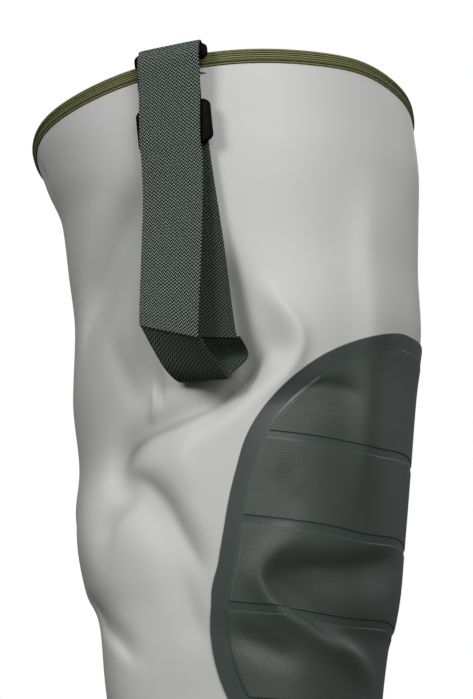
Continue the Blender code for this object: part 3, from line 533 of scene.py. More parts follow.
def lift(x):
    """Rise of the feather line above the ball: the heel seat behind and the toe spring in front."""
    share = foot_share(x)
    heel = HEEL_LIFT * (1 - ease(passed(share, HEEL_SEAT)))
    return heel + TOE_SPRING * np.clip(passed(share, TOE_RISE), 0, 1.2) ** 2


def foot_outline(phi, rise, margin=0.0):
    """Closed outline at a share of the instep height: a power of the sine across, with a drawn-in inner
    waist and a middle line that swings to the inner side at the toe."""
    rises = column(BOOT_SECTIONS, BOOT_COLUMNS, "rise")
    size = {name: smooth(rises, column(BOOT_SECTIONS, BOOT_COLUMNS, name), rise)
            for name in BOOT_COLUMNS[1:]}
    back = size["back"] * FOOT_LENGTH - HEEL_BACK - margin
    front = size["front"] * FOOT_LENGTH - HEEL_BACK + margin
    x = (front + back) / 2 - (front - back) / 2 * np.cos(phi)
    share = foot_share(x)
    width = size["heel"] + (size["ball"] - size["heel"]) * ease(passed(share, WIDENING))
    half_width = BALL_WIDTH / 2 * width + margin
    hollow = WAIST_HOLLOW * np.exp(-passed(share, WAIST) ** 2) * (1 - ease(passed(rise, WAIST_FADE)))
    half_width = half_width * np.where(np.sin(phi) < 0, 1 - hollow, 1.0)
    bow = OUTER_BOW * np.sin(math.pi * np.clip(passed(share, BOW_RUN), 0, 1))
    middle = TOE_SWING * ease(passed(share, SWING_RUN)) - bow
    y = middle - np.sign(np.sin(phi)) * half_width * np.abs(np.sin(phi)) ** size["bluntness"]
    return x, y


def outer_side(x, height, standoff):
    """Point beside the leg's outer side: X from the leg axis, height, and distance from the widest line."""
    half_width = leg_section(height)[2]
    return np.stack(np.broadcast_arrays(x, -(half_width + standoff), height), axis=-1)


# Meshes

def added(name, data):
    """New object in the scene."""
    made = bpy.data.objects.new(name, data)
    bpy.context.scene.collection.objects.link(made)
    return made


def join_points(mesh, distance, turn_out=False):
    """Joins points that lie within a distance and drops the faces that this leaves without an area."""
    shape = bmesh.new()
    shape.from_mesh(mesh)
    bmesh.ops.remove_doubles(shape, verts=shape.verts, dist=distance)
    bmesh.ops.dissolve_degenerate(shape, dist=distance / 10, edges=shape.edges)
    if turn_out:
        bmesh.ops.recalc_face_normals(shape, faces=shape.faces)
    shape.to_mesh(mesh)
    shape.free()


def grid_object(name, points, uv=None, wrap_rows=False, wrap_columns=False, spread=None, merge=False):
    """Mesh of quads between neighbouring points of a grid. A wrapped direction joins its last line to its
    first, and uv then has one more line there. The faces are turned outwards by the sign of the volume."""
    rows, columns = points.shape[:2]
    i, j = np.meshgrid(np.arange(rows if wrap_rows else rows - 1),
                       np.arange(columns if wrap_columns else columns - 1), indexing="ij")
    row_of = np.stack([i, i, i + 1, i + 1], axis=-1).reshape(-1, 4)
    column_of = np.stack([j, j + 1, j + 1, j], axis=-1).reshape(-1, 4)
    corners = (row_of % rows) * columns + column_of % columns
    flat = points.reshape(-1, 3) + LEG_AXIS
    a, b, c, d = (flat[corners[:, k]] for k in range(4))
    volume = np.einsum("ij,ij->", a, np.cross(b, c)) + np.einsum("ij,ij->", a, np.cross(c, d))
    if volume < 0:
        corners, row_of, column_of = corners[:, ::-1], row_of[:, ::-1], column_of[:, ::-1]
    mesh = bpy.data.meshes.new(name)
    mesh.from_pydata(flat.tolist(), [], corners.tolist())
    if uv is not None:
        layer = mesh.uv_layers.new(name="UVMap")
        layer.data.foreach_set("uv", uv[row_of, column_of].astype(np.float32).ravel())
    for label, values in (spread or {}).items():
        layer = mesh.attributes.new(label, "FLOAT", "POINT")
        layer.data.foreach_set("value", np.ascontiguousarray(values, np.float32).ravel())
    if merge:
        join_points(mesh, 1e-6)
    mesh.shade_smooth()
    mesh.set_sharp_from_angle(angle=SHARP_EDGE)
    return added(name, mesh)


def place(piece, slot, finish, *nodes):
    """Gives a finished piece its material and its body, and hides the imported nodes that it stands for.
    The slot is not used.
    """
    piece.data.materials.clear()
    piece.data.materials.append(finish)
    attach(piece, BODY)
    if nodes:
        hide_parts(*nodes)


def along(points):
    """Length from the start along a row of points."""
    return np.concatenate([[0], np.cumsum(np.linalg.norm(np.diff(points, axis=0), axis=-1))])


def drawn_in(rings, thickness):
    """Closed tube moved inwards along the cross product of its steps around and upwards."""
    around = np.roll(rings, -1, axis=1) - np.roll(rings, 1, axis=1)
    normal = np.cross(around, np.gradient(rings, axis=0))
    normal[0, :, 2] = 0
    normal[-1, :, 2] = 0
    normal /= np.linalg.norm(normal, axis=-1, keepdims=True)
    return rings - thickness * normal


def ribbon(name, back_edge, front_edge, thickness, across_points, painted_turn_shade=0.0):
    """Flat tape between two edges: a thin superellipse carried along the middle line, drawn to a line at
    both ends. The map runs across the tape and along it, in metres. The tape's back face shows less of the
    light thread, partly as painted shade, and so do the rows given for the turn, as painted shade."""
    turn = 2 * math.pi * np.arange(2 * across_points) / (2 * across_points)
    across = np.sign(np.cos(turn)) * np.abs(np.cos(turn)) ** TAPE_EDGE_POWER
    through = np.sign(np.sin(turn)) * np.abs(np.sin(turn)) ** TAPE_FACE_POWER
    middle, reach = (back_edge + front_edge) / 2, (front_edge - back_edge) / 2
    normal = np.cross(np.gradient(middle, axis=0), reach)
    normal /= np.linalg.norm(normal, axis=-1, keepdims=True)
    half = np.full(len(middle), thickness / 2)
    half[[0, -1]] = 0
    lifted = half[:, None] * through
    points = middle[:, None] + reach[:, None] * across[None, :, None] + normal[:, None] * lifted[..., None]
    v = along(middle)
    width = np.linalg.norm(reach, axis=-1).mean()
    u = np.append(across, across[0]) * width
    uv = np.stack(np.broadcast_arrays(u[None, :], v[:, None]), axis=-1)
    # Mask that darkens the light thread: the back face, partly painted shade, and the rows past the turn, as
    # painted shade
    reverse_and_painted_shade = np.maximum(ease(0.5 - 4 * through), np.broadcast_to(painted_turn_shade, len(middle))[:, None])
    return grid_object(name, points, uv, wrap_columns=True, spread={"reverse_and_painted_shade": reverse_and_painted_shade}, merge=True)


def bar_loop(path, outward, section_in, section_out):
    """Closed bar: at each point of a closed path the section lies in the outward direction and in Y."""
    lateral = path[:, None] + outward[:, None] * section_in[None, :, None]
    lateral[..., 1] += section_out[None, :]
    return lateral


def rounded_rectangle(half_width, half_height, corner, steps):
    """Path round a rectangle with round corners, in X and Z, and its outward direction."""
    angle = 2 * math.pi * (np.arange(4 * steps) + 0.5) / (4 * steps)
    cosine, sine = np.cos(angle), np.sin(angle)
    x = (half_width - corner) * np.sign(cosine) + corner * cosine
    z = (half_height - corner) * np.sign(sine) + corner * sine
    return np.stack([x, 0 * x, z], axis=-1), np.stack([cosine, 0 * cosine, sine], axis=-1)


# Shaders

class Shade:
    """One value in a node tree. Python arithmetic on it adds Math nodes."""

    def __init__(self, tree, socket=None):
        self.tree = tree
        self.socket = socket

    def node(self, kind, settings=None, inputs=None, output=0):
        """Adds a node, sets its settings first and then its inputs, and gives one of its outputs."""
        made = self.tree.nodes.new(kind)
        for name, value in (settings or {}).items():
            setattr(made, name, value)
        for name, value in (inputs or {}).items():
            if isinstance(value, Shade):
                self.tree.links.new(value.socket, made.inputs[name])
            else:
                made.inputs[name].default_value = value
        return Shade(self.tree, made.outputs[output])

    def math(self, operation, *values):
        return self.node("ShaderNodeMath", {"operation": operation}, dict(enumerate(values)))

    def __add__(self, other):
        return self.math("ADD", self, other)

    def __radd__(self, other):
        return self.math("ADD", other, self)

    def __sub__(self, other):
        return self.math("SUBTRACT", self, other)

    def __rsub__(self, other):
        return self.math("SUBTRACT", other, self)

    def __mul__(self, other):
        return self.math("MULTIPLY", self, other)

    def __rmul__(self, other):
        return self.math("MULTIPLY", other, self)

    def sine(self):
        return self.math("SINE", self)

    def ripple(self):
        """Sine of the value, from 0 to 1."""
        return self.sine() * 0.5 + 0.5

    def floor(self):
        return self.math("FLOOR", self)

    def odd(self):
        return self.math("MODULO", self, 2.0)

    def between(self, low, high):
        """0 below low, 1 above high, smooth between."""
        return self.node("ShaderNodeMapRange", {"interpolation_type": "SMOOTHSTEP"},
                         {"Value": self, "From Min": low, "From Max": high, "To Min": 0.0, "To Max": 1.0})


class Finish:
    """A material around one Principled shader."""

    def __init__(self, name, roughness, specular):
        self.material = bpy.data.materials.new(name)
        self.material.use_nodes = True
        tree = self.material.node_tree
        self.shade = Shade(tree)
        self.shader = tree.nodes["Principled BSDF"]
        self.shader.inputs["Roughness"].default_value = roughness
        self.shader.inputs["Specular IOR Level"].default_value = specular

    def feed(self, label, value):
        self.shade.tree.links.new(value.socket, self.shader.inputs[label])

    def map(self, kind):
        """Object coordinates or the piece's own map."""
        return self.shade.node("ShaderNodeTexCoord", output={"uv": 2, "object": 3}[kind])

    def spread(self, label):
        """Value that the mesh carries at its points."""
        return self.shade.node("ShaderNodeAttribute", {"attribute_name": label}, output=2)

    def split(self, vector):
        """The three parts of a vector."""
        made = self.shade.node("ShaderNodeSeparateXYZ", inputs={0: vector})
        outputs = made.socket.node.outputs
        return [Shade(made.tree, outputs[k]) for k in range(3)]

    def noise(self, vector, scale, detail=3.0, roughness=0.5):
        return self.shade.node("ShaderNodeTexNoise", {"noise_dimensions": "3D"},
                               {"Vector": vector, "Scale": scale, "Detail": detail, "Roughness": roughness})

    def mix(self, factor, first, second):
        """Colour mix."""
        inputs = {0: factor, 6: first, 7: second}
        return self.shade.node("ShaderNodeMix", {"data_type": "RGBA"}, inputs, output=2)

    def bump(self, height, distance, strength=1.0):
        inputs = {"Strength": strength, "Distance": distance, "Height": height}
        self.feed("Normal", self.shade.node("ShaderNodeBump", inputs=inputs))


def rgba(colour, gain=1.0):
    return (colour[0] * gain, colour[1] * gain, colour[2] * gain, 1.0)


def coated_fabric(colour):
    """Grey coating: even colour with faint clouds and painted shade in the creases, satin sheen that varies
    slowly, and a very fine grain."""
    made = Finish("grey_coated_fabric", 0.5, 0.45)
    spot = made.map("object")
    clouds = made.noise(spot, 9.0, 3.0)
    grain = made.noise(spot, 1400.0, 2.0)
    clean = made.mix(clouds, rgba(colour, 0.955), rgba(colour, 1.03))
    # Painted shade in the creases: the colour darkens to 0.15 of the coating, and the roughness rises
    painted_shade = made.spread("painted_shade")
    made.feed("Base Color", made.mix(painted_shade, clean, rgba(colour, 0.15)))
    made.feed("Roughness", 0.46 + 0.10 * made.noise(spot, 22.0, 4.0) + 0.44 * painted_shade)
    made.bump(grain * 0.25 + made.noise(spot, 60.0, 3.0), 0.0005, 0.30)
    return made.material


def patch_sheet(panel_colour, border_colour):
    """Coated sheet: panels with a fine diamond emboss, smooth border and bands that are a little bluer."""
    made = Finish("dark_green_sheet", 0.42, 0.5)
    u, v, _ = made.split(made.map("uv"))
    spot = made.map("object")
    raised = made.spread("panel")
    wave = 2 * math.pi / EMBOSS_PITCH
    diamonds = (((u + v) * wave).sine() + ((u - v) * wave).sine()) * 0.25 + 0.5
    clouds = made.noise(spot, 14.0, 4.0)
    panel = made.mix(diamonds * 0.55 + clouds * 0.45, rgba(panel_colour, 0.62), rgba(panel_colour, 1.38))
    made.feed("Base Color", made.mix(raised, rgba(border_colour), panel))
    made.feed("Roughness", 0.30 + 0.10 * clouds + 0.10 * raised)
    made.bump(diamonds * raised + 0.3 * made.noise(spot, 90.0, 3.0), 0.00024, 0.6)
    return made.material


def ribbed_tape(colour):
    """Olive binding: lengthwise ribs with dark gaps and light crests, partly the weave and partly painted
    shade and painted highlight, cross threads on the ribs and a fine speckle.
    """
    made = Finish("olive_tape", 0.78, 0.25)
    u, v, _ = made.split(made.map("uv"))
    ribs = v * (2 * math.pi / HEM_RIB_PITCH)
    rib = ribs.ripple()
    thread = (u * (2 * math.pi / TAPE_THREAD) + ribs.floor() * 1.7).ripple()
    speckle = made.noise(made.map("object"), 900.0, 2.0)
    # Rib colour: partly the tape's weave, partly painted shade in the gaps and painted highlight on the
    # crests
    tone = rib * 0.62 + thread * 0.16 + speckle * 0.30
    made.feed("Base Color", made.mix(tone.between(0.15, 0.95), rgba(colour, 0.12), rgba(colour, 1.8)))
    made.bump(rib * 0.6 + thread * 0.5 + speckle * 0.5, 0.0002, 0.8)
    return made.material


def herringbone(name, dark, light):
    """Two-tone webbing: slanted threads that turn from one column to the next. The light thread is darker on
    the back face, partly as painted shade, and past the turn, as painted shade.
    """
    made = Finish(name, 0.82, 0.25)
    u, v, _ = made.split(made.map("uv"))
    stripe = (u + 1.0) * (1.0 / WEAVE_COLUMN)
    lean = stripe.floor().odd() * 2.0 - 1.0
    inside = stripe - stripe.floor() - 0.5
    slanted = v + lean * inside * (1.5 * WEAVE_COLUMN)
    weft = (slanted * (2 * math.pi / WEAVE_PITCH)).ripple()
    fuzz = made.noise(made.map("object"), 1600.0, 2.0)
    threads = weft.between(0.80, 0.98)
    tone = threads * (0.70 + 0.60 * fuzz)
    # Painted shade: the light thread darkens to 0.42 of itself on the back face and past the turn
    reverse_and_painted_shade = made.spread("reverse_and_painted_shade")
    pale = made.mix(reverse_and_painted_shade, rgba(light), rgba(light, 0.42))
    made.feed("Base Color", made.mix(tone, rgba(dark), pale))
    made.bump(threads * 0.8 + fuzz * 0.2, 0.0003, 0.8)
    return made.material


def moulded_plastic(colour):
    """Black plastic: slightly glossy, with a faint moulding grain and dulled patches."""
    made = Finish("black_plastic", 0.30, 0.012)
    spot = made.map("object")
    made.feed("Base Color", made.mix(made.noise(spot, 120.0), rgba(colour, 0.8), rgba(colour, 1.5)))
    made.feed("Roughness", 0.26 + 0.18 * made.noise(spot, 160.0, 4.0))
    made.bump(made.noise(spot, 1500.0, 2.0), 0.0001, 0.35)
    return made.material


def boot_rubber(name, colour, sheen):
    """Moulded rubber: soft mottling, a matt bloom near the floor and a fine pebbled grain."""
    made = Finish(name, sheen, 0.45)
    spot = made.map("object")
    _, _, height = made.split(spot)
    bloom = (1.0 - height.between(0.0, 0.10)) * made.noise(spot, 40.0, 5.0)
    mottle = made.noise(spot, 18.0, 4.0)
    base = made.mix(mottle, rgba(colour, 0.85), rgba(colour, 1.18))
    made.feed("Base Color", made.mix(bloom * 0.35, base, rgba(colour, 2.4)))
    made.feed("Roughness", sheen - 0.06 + 0.12 * mottle + 0.15 * bloom)
    made.bump(made.noise(spot, 700.0, 3.0) + 0.6 * made.noise(spot, 130.0, 2.0), 0.0003, 0.35)
    return made.material


def felt(colour):
    """Felted sheet: short fibres in all directions and worn patches."""
    made = Finish("insole_felt", 0.95, 0.15)
    spot = made.map("object")
    fibres = made.noise(spot, 1300.0, 5.0, 0.7)
    wear = made.noise(spot, 26.0, 4.0)
    made.feed("Base Color", made.mix(fibres * 0.6 + wear * 0.4, rgba(colour, 0.6), rgba(colour, 1.5)))
    made.bump(fibres, 0.0005, 0.7)
    return made.material


# Pieces

def make_leg(colours, sizes):
    """Leg wall: rows run up the outer face to the hem and down the inner face to the foot, columns run
    round. Both lie closer where the outer side has its folds. The inner rows are fewer and lie under the
    deepest place near them."""
    columns, outer_rows, inner_rows = 364, 224, 36
    phi = 2 * math.pi * spaced(columns + 1, *FINE_AROUND)[:-1]
    top = hem_height(phi)
    share = spaced(outer_rows, *FINE_UP)
    inner_share = np.linspace(1, 0, inner_rows)
    outer_height = LEG_FOOT_HEIGHT + share[:, None] * (top - LEG_FOOT_HEIGHT)[None, :]
    inner_height = LEG_FOOT_HEIGHT + inner_share[:, None] * (top - LEG_FOOT_HEIGHT)[None, :]
    folded = leg_folds(phi[None, :], outer_height, sizes.fold_gain)
    tuck = PATCH_TUCK * under_patch(phi[None, :], outer_height)
    outer = leg_point(phi[None, :], outer_height, folded - tuck)
    near = np.abs(share[:, None] - inner_share[None, :]) * (inner_rows - 1) < 1.01
    deepest = np.array([folded[rows].min(axis=0) for rows in near.T])
    inner = leg_point(phi[None, :], inner_height, deepest - LEG_WALL)
    points = np.concatenate([outer, inner])
    # Painted shade in the creases of the outer face, none on the inner face
    painted_shade = np.concatenate([painted_crease_shade(phi[None, :], outer_height), np.zeros(inner_height.shape)])
    surface = grid_object("leg_surface", points, wrap_rows=True, wrap_columns=True, spread={"painted_shade": painted_shade})
    place(surface, "grey_coated_fabric", coated_fabric(colours.leg), "leg_shaft")


def hem_profile(rib_height):
    """Section of the tape: up its outer face with ribs, over the crown and down inside. Gives distance
    out and height above the leg's edge."""
    outside, inside, crown = GAP + HEM_WALL, -(LEG_WALL + GAP + HEM_WALL), GAP + HEM_WALL
    corner = HEM_CORNER
    up = np.linspace(-HEM_DEPTH, crown - corner, 64)
    rib = rib_height * np.sin(2 * math.pi * (up + HEM_DEPTH) / HEM_RIB_PITCH)
    rib -= HEM_LIP_TAPER * ease(1 - (up + HEM_DEPTH) / HEM_LIP)
    turn = np.linspace(0, math.pi / 2, 8)[1:]
    over_out = outside - corner + corner * np.cos(turn)
    over_up = crown - corner + corner * np.sin(turn)
    back_turn = np.linspace(math.pi / 2, math.pi, 8)
    back_out = inside + corner + corner * np.cos(back_turn)
    back_up = crown - corner + corner * np.sin(back_turn)
    down = np.linspace(crown - corner, -HEM_DEPTH, 40)[1:]
    down_rib = rib_height * np.sin(2 * math.pi * (down + HEM_DEPTH) / HEM_RIB_PITCH)
    foot = -HEM_DEPTH - HEM_LIP_DROP
    under_out = [inside + HEM_LIP_ROUND, inside + HEM_WALL, inside + HEM_WALL, outside - HEM_WALL,
                 outside - HEM_WALL, outside - HEM_LIP_ROUND]
    under_up = [foot, -HEM_DEPTH, GAP, GAP, -HEM_DEPTH, foot]
    out = np.concatenate([outside + rib, over_out, back_out, inside - down_rib, under_out])
    height = np.concatenate([up, over_up, back_up, down, under_up])
    return out, height


def make_hem(colours, sizes):
    """Binding tape: the ribbed section carried round the leg's top edge."""
    columns = 420
    phi = 2 * math.pi * np.arange(columns) / columns
    top = hem_height(phi)
    out, up = hem_profile(sizes.hem_rib)
    points = leg_point(phi[:, None], top[:, None] + up[None, :], np.broadcast_to(out, (columns, len(out))))
    across = along(np.stack([out, up], axis=-1))
    round_hem = along(np.concatenate([points[:, 0], points[:1, 0]]))
    closed_across = np.append(across, across[-1] + MILLI)
    uv = np.stack(np.broadcast_arrays(round_hem[:, None], closed_across[None, :]), axis=-1)
    place(grid_object("hem_tape", points, uv, wrap_rows=True, wrap_columns=True),
          "olive_tape", ribbed_tape(colours.hem), "hem_binding")


def sewing_thread(name, colour):
    """Twisted thread: two tones of one colour with a fine bump."""
    thread = Finish(name, 0.75, 0.3)
    twist = thread.noise(thread.map("object"), 2200.0, 2.0)
    thread.feed("Base Color", thread.mix(twist, rgba(colour, 0.5), rgba(colour, 1.3)))
    thread.bump(twist, 0.0001, 0.5)
    return thread.material


def make_hem_stitches(colours):
    """Stitches near the tape's lower edge: each a short six-sided bar, thick in the middle."""
    fine = np.linspace(0, 2 * math.pi, 721)
    lengths = along(leg_point(fine, hem_height(fine)))
    count = int(lengths[-1] / STITCH_PITCH)
    centre = np.interp((np.arange(count) + 0.5) / count * lengths[-1], lengths, fine)
    run = np.array([-1.0, -0.6, 0.0, 0.6, 1.0])
    girth = STITCH_RADIUS * np.array([0.0, 0.8, 1.0, 0.8, 0.0])[None, :, None]
    turn = 2 * math.pi * np.arange(6) / 6
    rows, columns = len(run), len(turn)
    phi = centre[:, None] + run[None, :] * (STITCH_LENGTH / 2) / HEM_RADIUS
    out = GAP + HEM_WALL - STITCH_SINK + girth * np.cos(turn)
    up = STITCH_RISE - HEM_DEPTH + girth * np.sin(turn)
    points = leg_point(phi[..., None], hem_height(phi)[..., None] + up,
                       np.broadcast_to(out, (count, rows, columns)))
    i, j = np.meshgrid(np.arange(rows - 1), np.arange(columns), indexing="ij")
    one = np.stack([i * columns + j, i * columns + (j + 1) % columns, (i + 1) * columns + (j + 1) % columns,
                    (i + 1) * columns + j], axis=-1).reshape(-1, 4)
    faces = (one[None] + (np.arange(count) * rows * columns)[:, None, None]).reshape(-1, 4)
    mesh = bpy.data.meshes.new("hem_stitches")
    mesh.from_pydata((points.reshape(-1, 3) + LEG_AXIS).tolist(), [], faces.tolist())
    join_points(mesh, 1e-7, turn_out=True)
    mesh.shade_smooth()
    place(added("hem_stitches", mesh), "olive_tape", sewing_thread("hem_thread", colours.hem))


def make_bar_tack(colours):
    """Bar of thread across the ring's tab: a round section, ridged by a sine along its length and closed at
    both ends, that lies on the tab and comes down to the leg beside it."""
    share = np.linspace(0, 1, 201)[:, None]
    turn = 2 * math.pi * np.arange(8) / 8
    phi = np.radians(TACK_ANGLES[0] + (TACK_ANGLES[1] - TACK_ANGLES[0]) * share)
    bare = leg_point(phi, TACK_HEIGHT)
    ridges = np.sin(2 * math.pi * along(bare[:, 0])[:, None] / TACK_PITCH)
    girth = TACK_RADIUS * (1 + TACK_RIDGE * (ridges - 1)) * np.sqrt(1 - (2 * share - 1) ** 16)
    on_tab = ease((TAB_WIDTH / 2 + TACK_RAMP - np.abs(bare[..., 0] - RING_X)) / TACK_RAMP)
    recess = leg_section(TACK_HEIGHT)[2] * (1 - np.sin(phi))
    standoff = on_tab * (TAB_FRONT + recess) + girth * np.cos(turn)
    points = leg_point(phi, TACK_HEIGHT + girth * np.sin(turn), standoff)
    place(grid_object("tab_bar_tack", points, wrap_columns=True, merge=True), "green_webbing",
          sewing_thread("tack_thread", colours.thread_dark))


def patch_half_width(height, inset=0.0):
    """Half width along the surface: a superellipse with a taller lower half, drawn in by inset."""
    rise = np.asarray(height) - PATCH_CENTRE
    reach = np.where(rise > 0, PATCH_RISE, PATCH_DROP) - inset
    share = np.clip(np.abs(rise) / reach, 0, 1)
    return (PATCH_HALF_WIDTH - inset) * (1 - share ** PATCH_ROUNDNESS) ** (1 / PATCH_ROUNDNESS)


def patch_radius(height):
    """Mean of the leg's reach behind and beside, which turns a width of the patch into an angle."""
    reaches = np.linalg.norm(leg_point(np.array([0.0, math.pi / 2]), height)[..., :2], axis=-1)
    return reaches.mean(axis=-1, keepdims=True)


def under_patch(phi, height):
    """1 under the patch and 0 outside, with a soft step inside its rim."""
    rows = np.linspace(PATCH_CENTRE - PATCH_DROP, PATCH_CENTRE + PATCH_RISE, 60)
    radius = np.interp(height, rows, patch_radius(rows[:, None])[:, 0])
    inside = patch_half_width(height, PATCH_TUCK_EDGE) - np.abs(phi - math.pi) * radius
    return ease(inside / PATCH_TUCK_EDGE)


def panel_rise(height):
    """1 where the panels stand up, 0 on the pressed bands and past the panels, with steps of PATCH_STEP."""
    step = PATCH_STEP / 2
    top, foot = PATCH_CENTRE + PATCH_RISE - PATCH_BORDER, PATCH_CENTRE - PATCH_DROP + PATCH_BORDER
    found = ease((top - height) / step / 2 + 0.5) * ease((height - foot) / step / 2 + 0.5)
    for band in BAND_HEIGHTS:
        found = found * ease((np.abs(height - band) - BAND_WIDTH / 2) / step / 2 + 0.5)
    return found


def patch_rows():
    """Heights from the top to the bottom of the patch, closer at its ends and across each step."""
    ends = 1 - np.linspace(0, 1, 34) ** 3.2
    rows = [PATCH_CENTRE + PATCH_RISE * ends, PATCH_CENTRE - PATCH_DROP * ends]
    rows.append(np.linspace(PATCH_CENTRE - 0.93 * PATCH_DROP, PATCH_CENTRE + 0.93 * PATCH_RISE, 110))
    step = PATCH_STEP * np.array([-0.6, -0.4, -0.2, 0, 0.2, 0.4, 0.6])
    edges = [PATCH_CENTRE + PATCH_RISE - PATCH_BORDER, PATCH_CENTRE - PATCH_DROP + PATCH_BORDER]
    edges += [band + side * BAND_WIDTH / 2 for band in BAND_HEIGHTS for side in (-1, 1)]
    rows += [edge + step for edge in edges]
    return np.unique(np.round(np.concatenate(rows), 6))[::-1]


def make_patch(colours, sizes):
    """Knee patch: across each height a thin closed section that lies on the folded leg, with a round rim,
    a flat border and a panel that stands up from it by one step."""
    height = patch_rows()[:, None]
    rim = patch_half_width(height)
    panel = np.maximum(patch_half_width(height, PATCH_BORDER), PANEL_LEAST * rim)
    edge_share = np.array([0.0, 0.04, 0.12, 0.25, 0.45, 0.65, 0.85, 1.0])
    step_share = np.array([0.25, 0.5, 0.75])
    outer_edge = np.minimum(panel + PATCH_STEP, STEP_OUTER * rim)
    inner_edge = np.minimum(panel, STEP_INNER * rim)
    border = rim + (outer_edge - rim) * edge_share[None, :]
    stepped = outer_edge + (inner_edge - outer_edge) * step_share[None, :]
    flank = np.concatenate([border, stepped], axis=1)
    inside = inner_edge * np.linspace(-1, 1, 121)[None, :]
    across = np.concatenate([-flank, inside, flank[:, ::-1]], axis=1)
    flat = np.zeros(len(edge_share))
    rise_across = np.concatenate([flat, ease(step_share), np.ones(inside.shape[1]), ease(step_share)[::-1],
                                  flat])
    raised = panel_rise(height) * rise_across[None, :]
    thick = PATCH_SHEET * ease((rim - np.abs(across)) / PATCH_RIM) ** 0.5
    ends = np.minimum(PATCH_CENTRE + PATCH_RISE - height, height - PATCH_CENTRE + PATCH_DROP)
    thick = thick * ease(ends / PATCH_RIM) ** 0.5
    phi = math.pi + across / patch_radius(height)
    reach = np.where(height > PATCH_CENTRE, PATCH_RISE, PATCH_DROP)
    still = 1 - (np.abs(height - PATCH_CENTRE) / reach) ** 4
    beside = np.abs(across) / PATCH_HALF_WIDTH
    sag = np.exp(-((beside - SAG_PLACE) / SAG_REACH) ** 2)
    heights = height + still * (BAND_RISE * beside ** 3 - BAND_SAG * sag)
    folded = leg_folds(phi, heights, sizes.fold_gain)
    upper = leg_point(phi, heights, folded + 2 * GAP + thick + sizes.patch_pad * raised)
    lower = leg_point(phi, heights, folded + 2 * GAP)
    points = np.concatenate([upper, lower[:, ::-1]], axis=1)
    around = np.concatenate([across, across[:, ::-1], across[:, :1]], axis=1)
    uv = np.stack(np.broadcast_arrays(around, height), axis=-1)
    panels = np.concatenate([raised, np.zeros(raised.shape)], axis=1)
    sheet = grid_object("knee_patch_sheet", points, uv, wrap_columns=True, spread={"panel": panels},
                        merge=True)
    place(sheet, "dark_green_sheet", patch_sheet(colours.panel, colours.border), "knee_patch")


def make_webbing(colours, sizes):
    """Belt webbing and the tab that holds the ring: flat tapes along their routes."""
    steps = 10
    route = through_points(STRAP_ROUTE, steps)
    # Painted shade on the rows past the turn: the foot's underside and the rear ply
    painted_shade_at_turn = ease((np.arange(len(route)) / steps - STRAP_FOLD_ROW) / STRAP_FOLD_ROWS)
    back_edge = outer_side(STRAP_X + route[:, 0], route[:, 2], route[:, 1])
    front_edge = outer_side(STRAP_X + route[:, 3], route[:, 5], route[:, 4])
    weave = herringbone("green_webbing", colours.thread_dark, colours.thread_light)
    place(ribbon("belt_webbing", back_edge, front_edge, sizes.webbing_thickness, 24, painted_shade_at_turn),
          "green_webbing", weave, "strap_webbing")
    turn = np.radians(TAB_TURN)
    round_bar = np.stack([RING_STANDOFF + TAB_TURN_RADIUS * np.cos(turn),
                          TAB_TURN_HEIGHT + TAB_TURN_RADIUS * np.sin(turn)], axis=-1)
    profile = through_points(np.concatenate([TAB_PROFILE, round_bar]), 6)
    edges = []
    for side in (-1, 1):
        tilt = side * TAB_WIDTH / 2 * math.tan(HARDWARE_TILT)
        edges.append(outer_side(RING_X + side * TAB_WIDTH / 2, profile[:, 1] + tilt, profile[:, 0]))
    place(ribbon("ring_tab", edges[0], edges[1], TAB_THICKNESS, 16), "green_webbing", weave, "anchor_tab")


def tilted(points):
    """Points turned in X and Z by the hardware's tilt."""
    cosine, sine = math.cos(HARDWARE_TILT), math.sin(HARDWARE_TILT)
    return np.stack([points[..., 0] * cosine - points[..., 2] * sine, points[..., 1],
                     points[..., 0] * sine + points[..., 2] * cosine], axis=-1)


def make_hardware(colours):
    """Ring and three-bar slide: rounded bars carried round rounded rectangles, and the middle bar."""
    plastic = moulded_plastic(colours.plastic)
    turn = 2 * math.pi * np.arange(20) / 20
    reach = RING_BAR / 2
    path, outward = rounded_rectangle(RING_WIDTH / 2 - RING_END / 2, RING_HEIGHT / 2 - reach,
                                      RING_CORNER, 14)
    path[:, 2] -= RING_HEIGHT / 2 - reach
    outward[:, 0] *= RING_END / RING_BAR
    bar = bar_loop(path, outward, reach * np.cos(turn), reach * np.sin(turn))
    ring = tilted(bar) + outer_side(RING_X, RING_TOP_HEIGHT, RING_STANDOFF)
    place(grid_object("ring_bar", ring, wrap_rows=True, wrap_columns=True), "black_plastic", plastic,
          "strap_ring")
    centre = outer_side(STRAP_X, SLIDER_CENTRE_HEIGHT, SLIDER_STANDOFF)
    section = np.sign(np.cos(turn)) * np.abs(np.cos(turn)) ** BAR_POWER
    depth = np.sign(np.sin(turn)) * np.abs(np.sin(turn)) ** BAR_POWER
    half = SLIDER_BAR / 2
    path, outward = rounded_rectangle(SLIDER_WIDTH / 2 - SLIDER_END / 2, SLIDER_HEIGHT / 2 - half,
                                      SLIDER_CORNER - half, 12)
    outward[:, 0] *= SLIDER_END / SLIDER_BAR
    frame_bar = tilted(bar_loop(path, outward, half * section, SLIDER_THICKNESS / 2 * depth)) + centre
    place(grid_object("slide_frame", frame_bar, wrap_rows=True, wrap_columns=True), "black_plastic", plastic,
          "strap_slider")
    middle = np.linspace(-1, 1, 9) * (SLIDER_WIDTH / 2 - half)
    height = SLIDER_HEIGHT - 2 * SLIDER_BAR - 2 * SLIDER_SLOT
    half_thick = SLIDER_THICKNESS * MIDDLE_BAR_HALF
    cross = np.stack(np.broadcast_arrays(middle[:, None], half_thick * depth[None, :],
                                         height / 2 * section[None, :]), axis=-1)
    cross[[0, -1], :, 1:] *= 1e-4
    place(grid_object("slide_middle_bar", tilted(cross) + centre, wrap_columns=True, merge=True),
          "black_plastic", plastic)


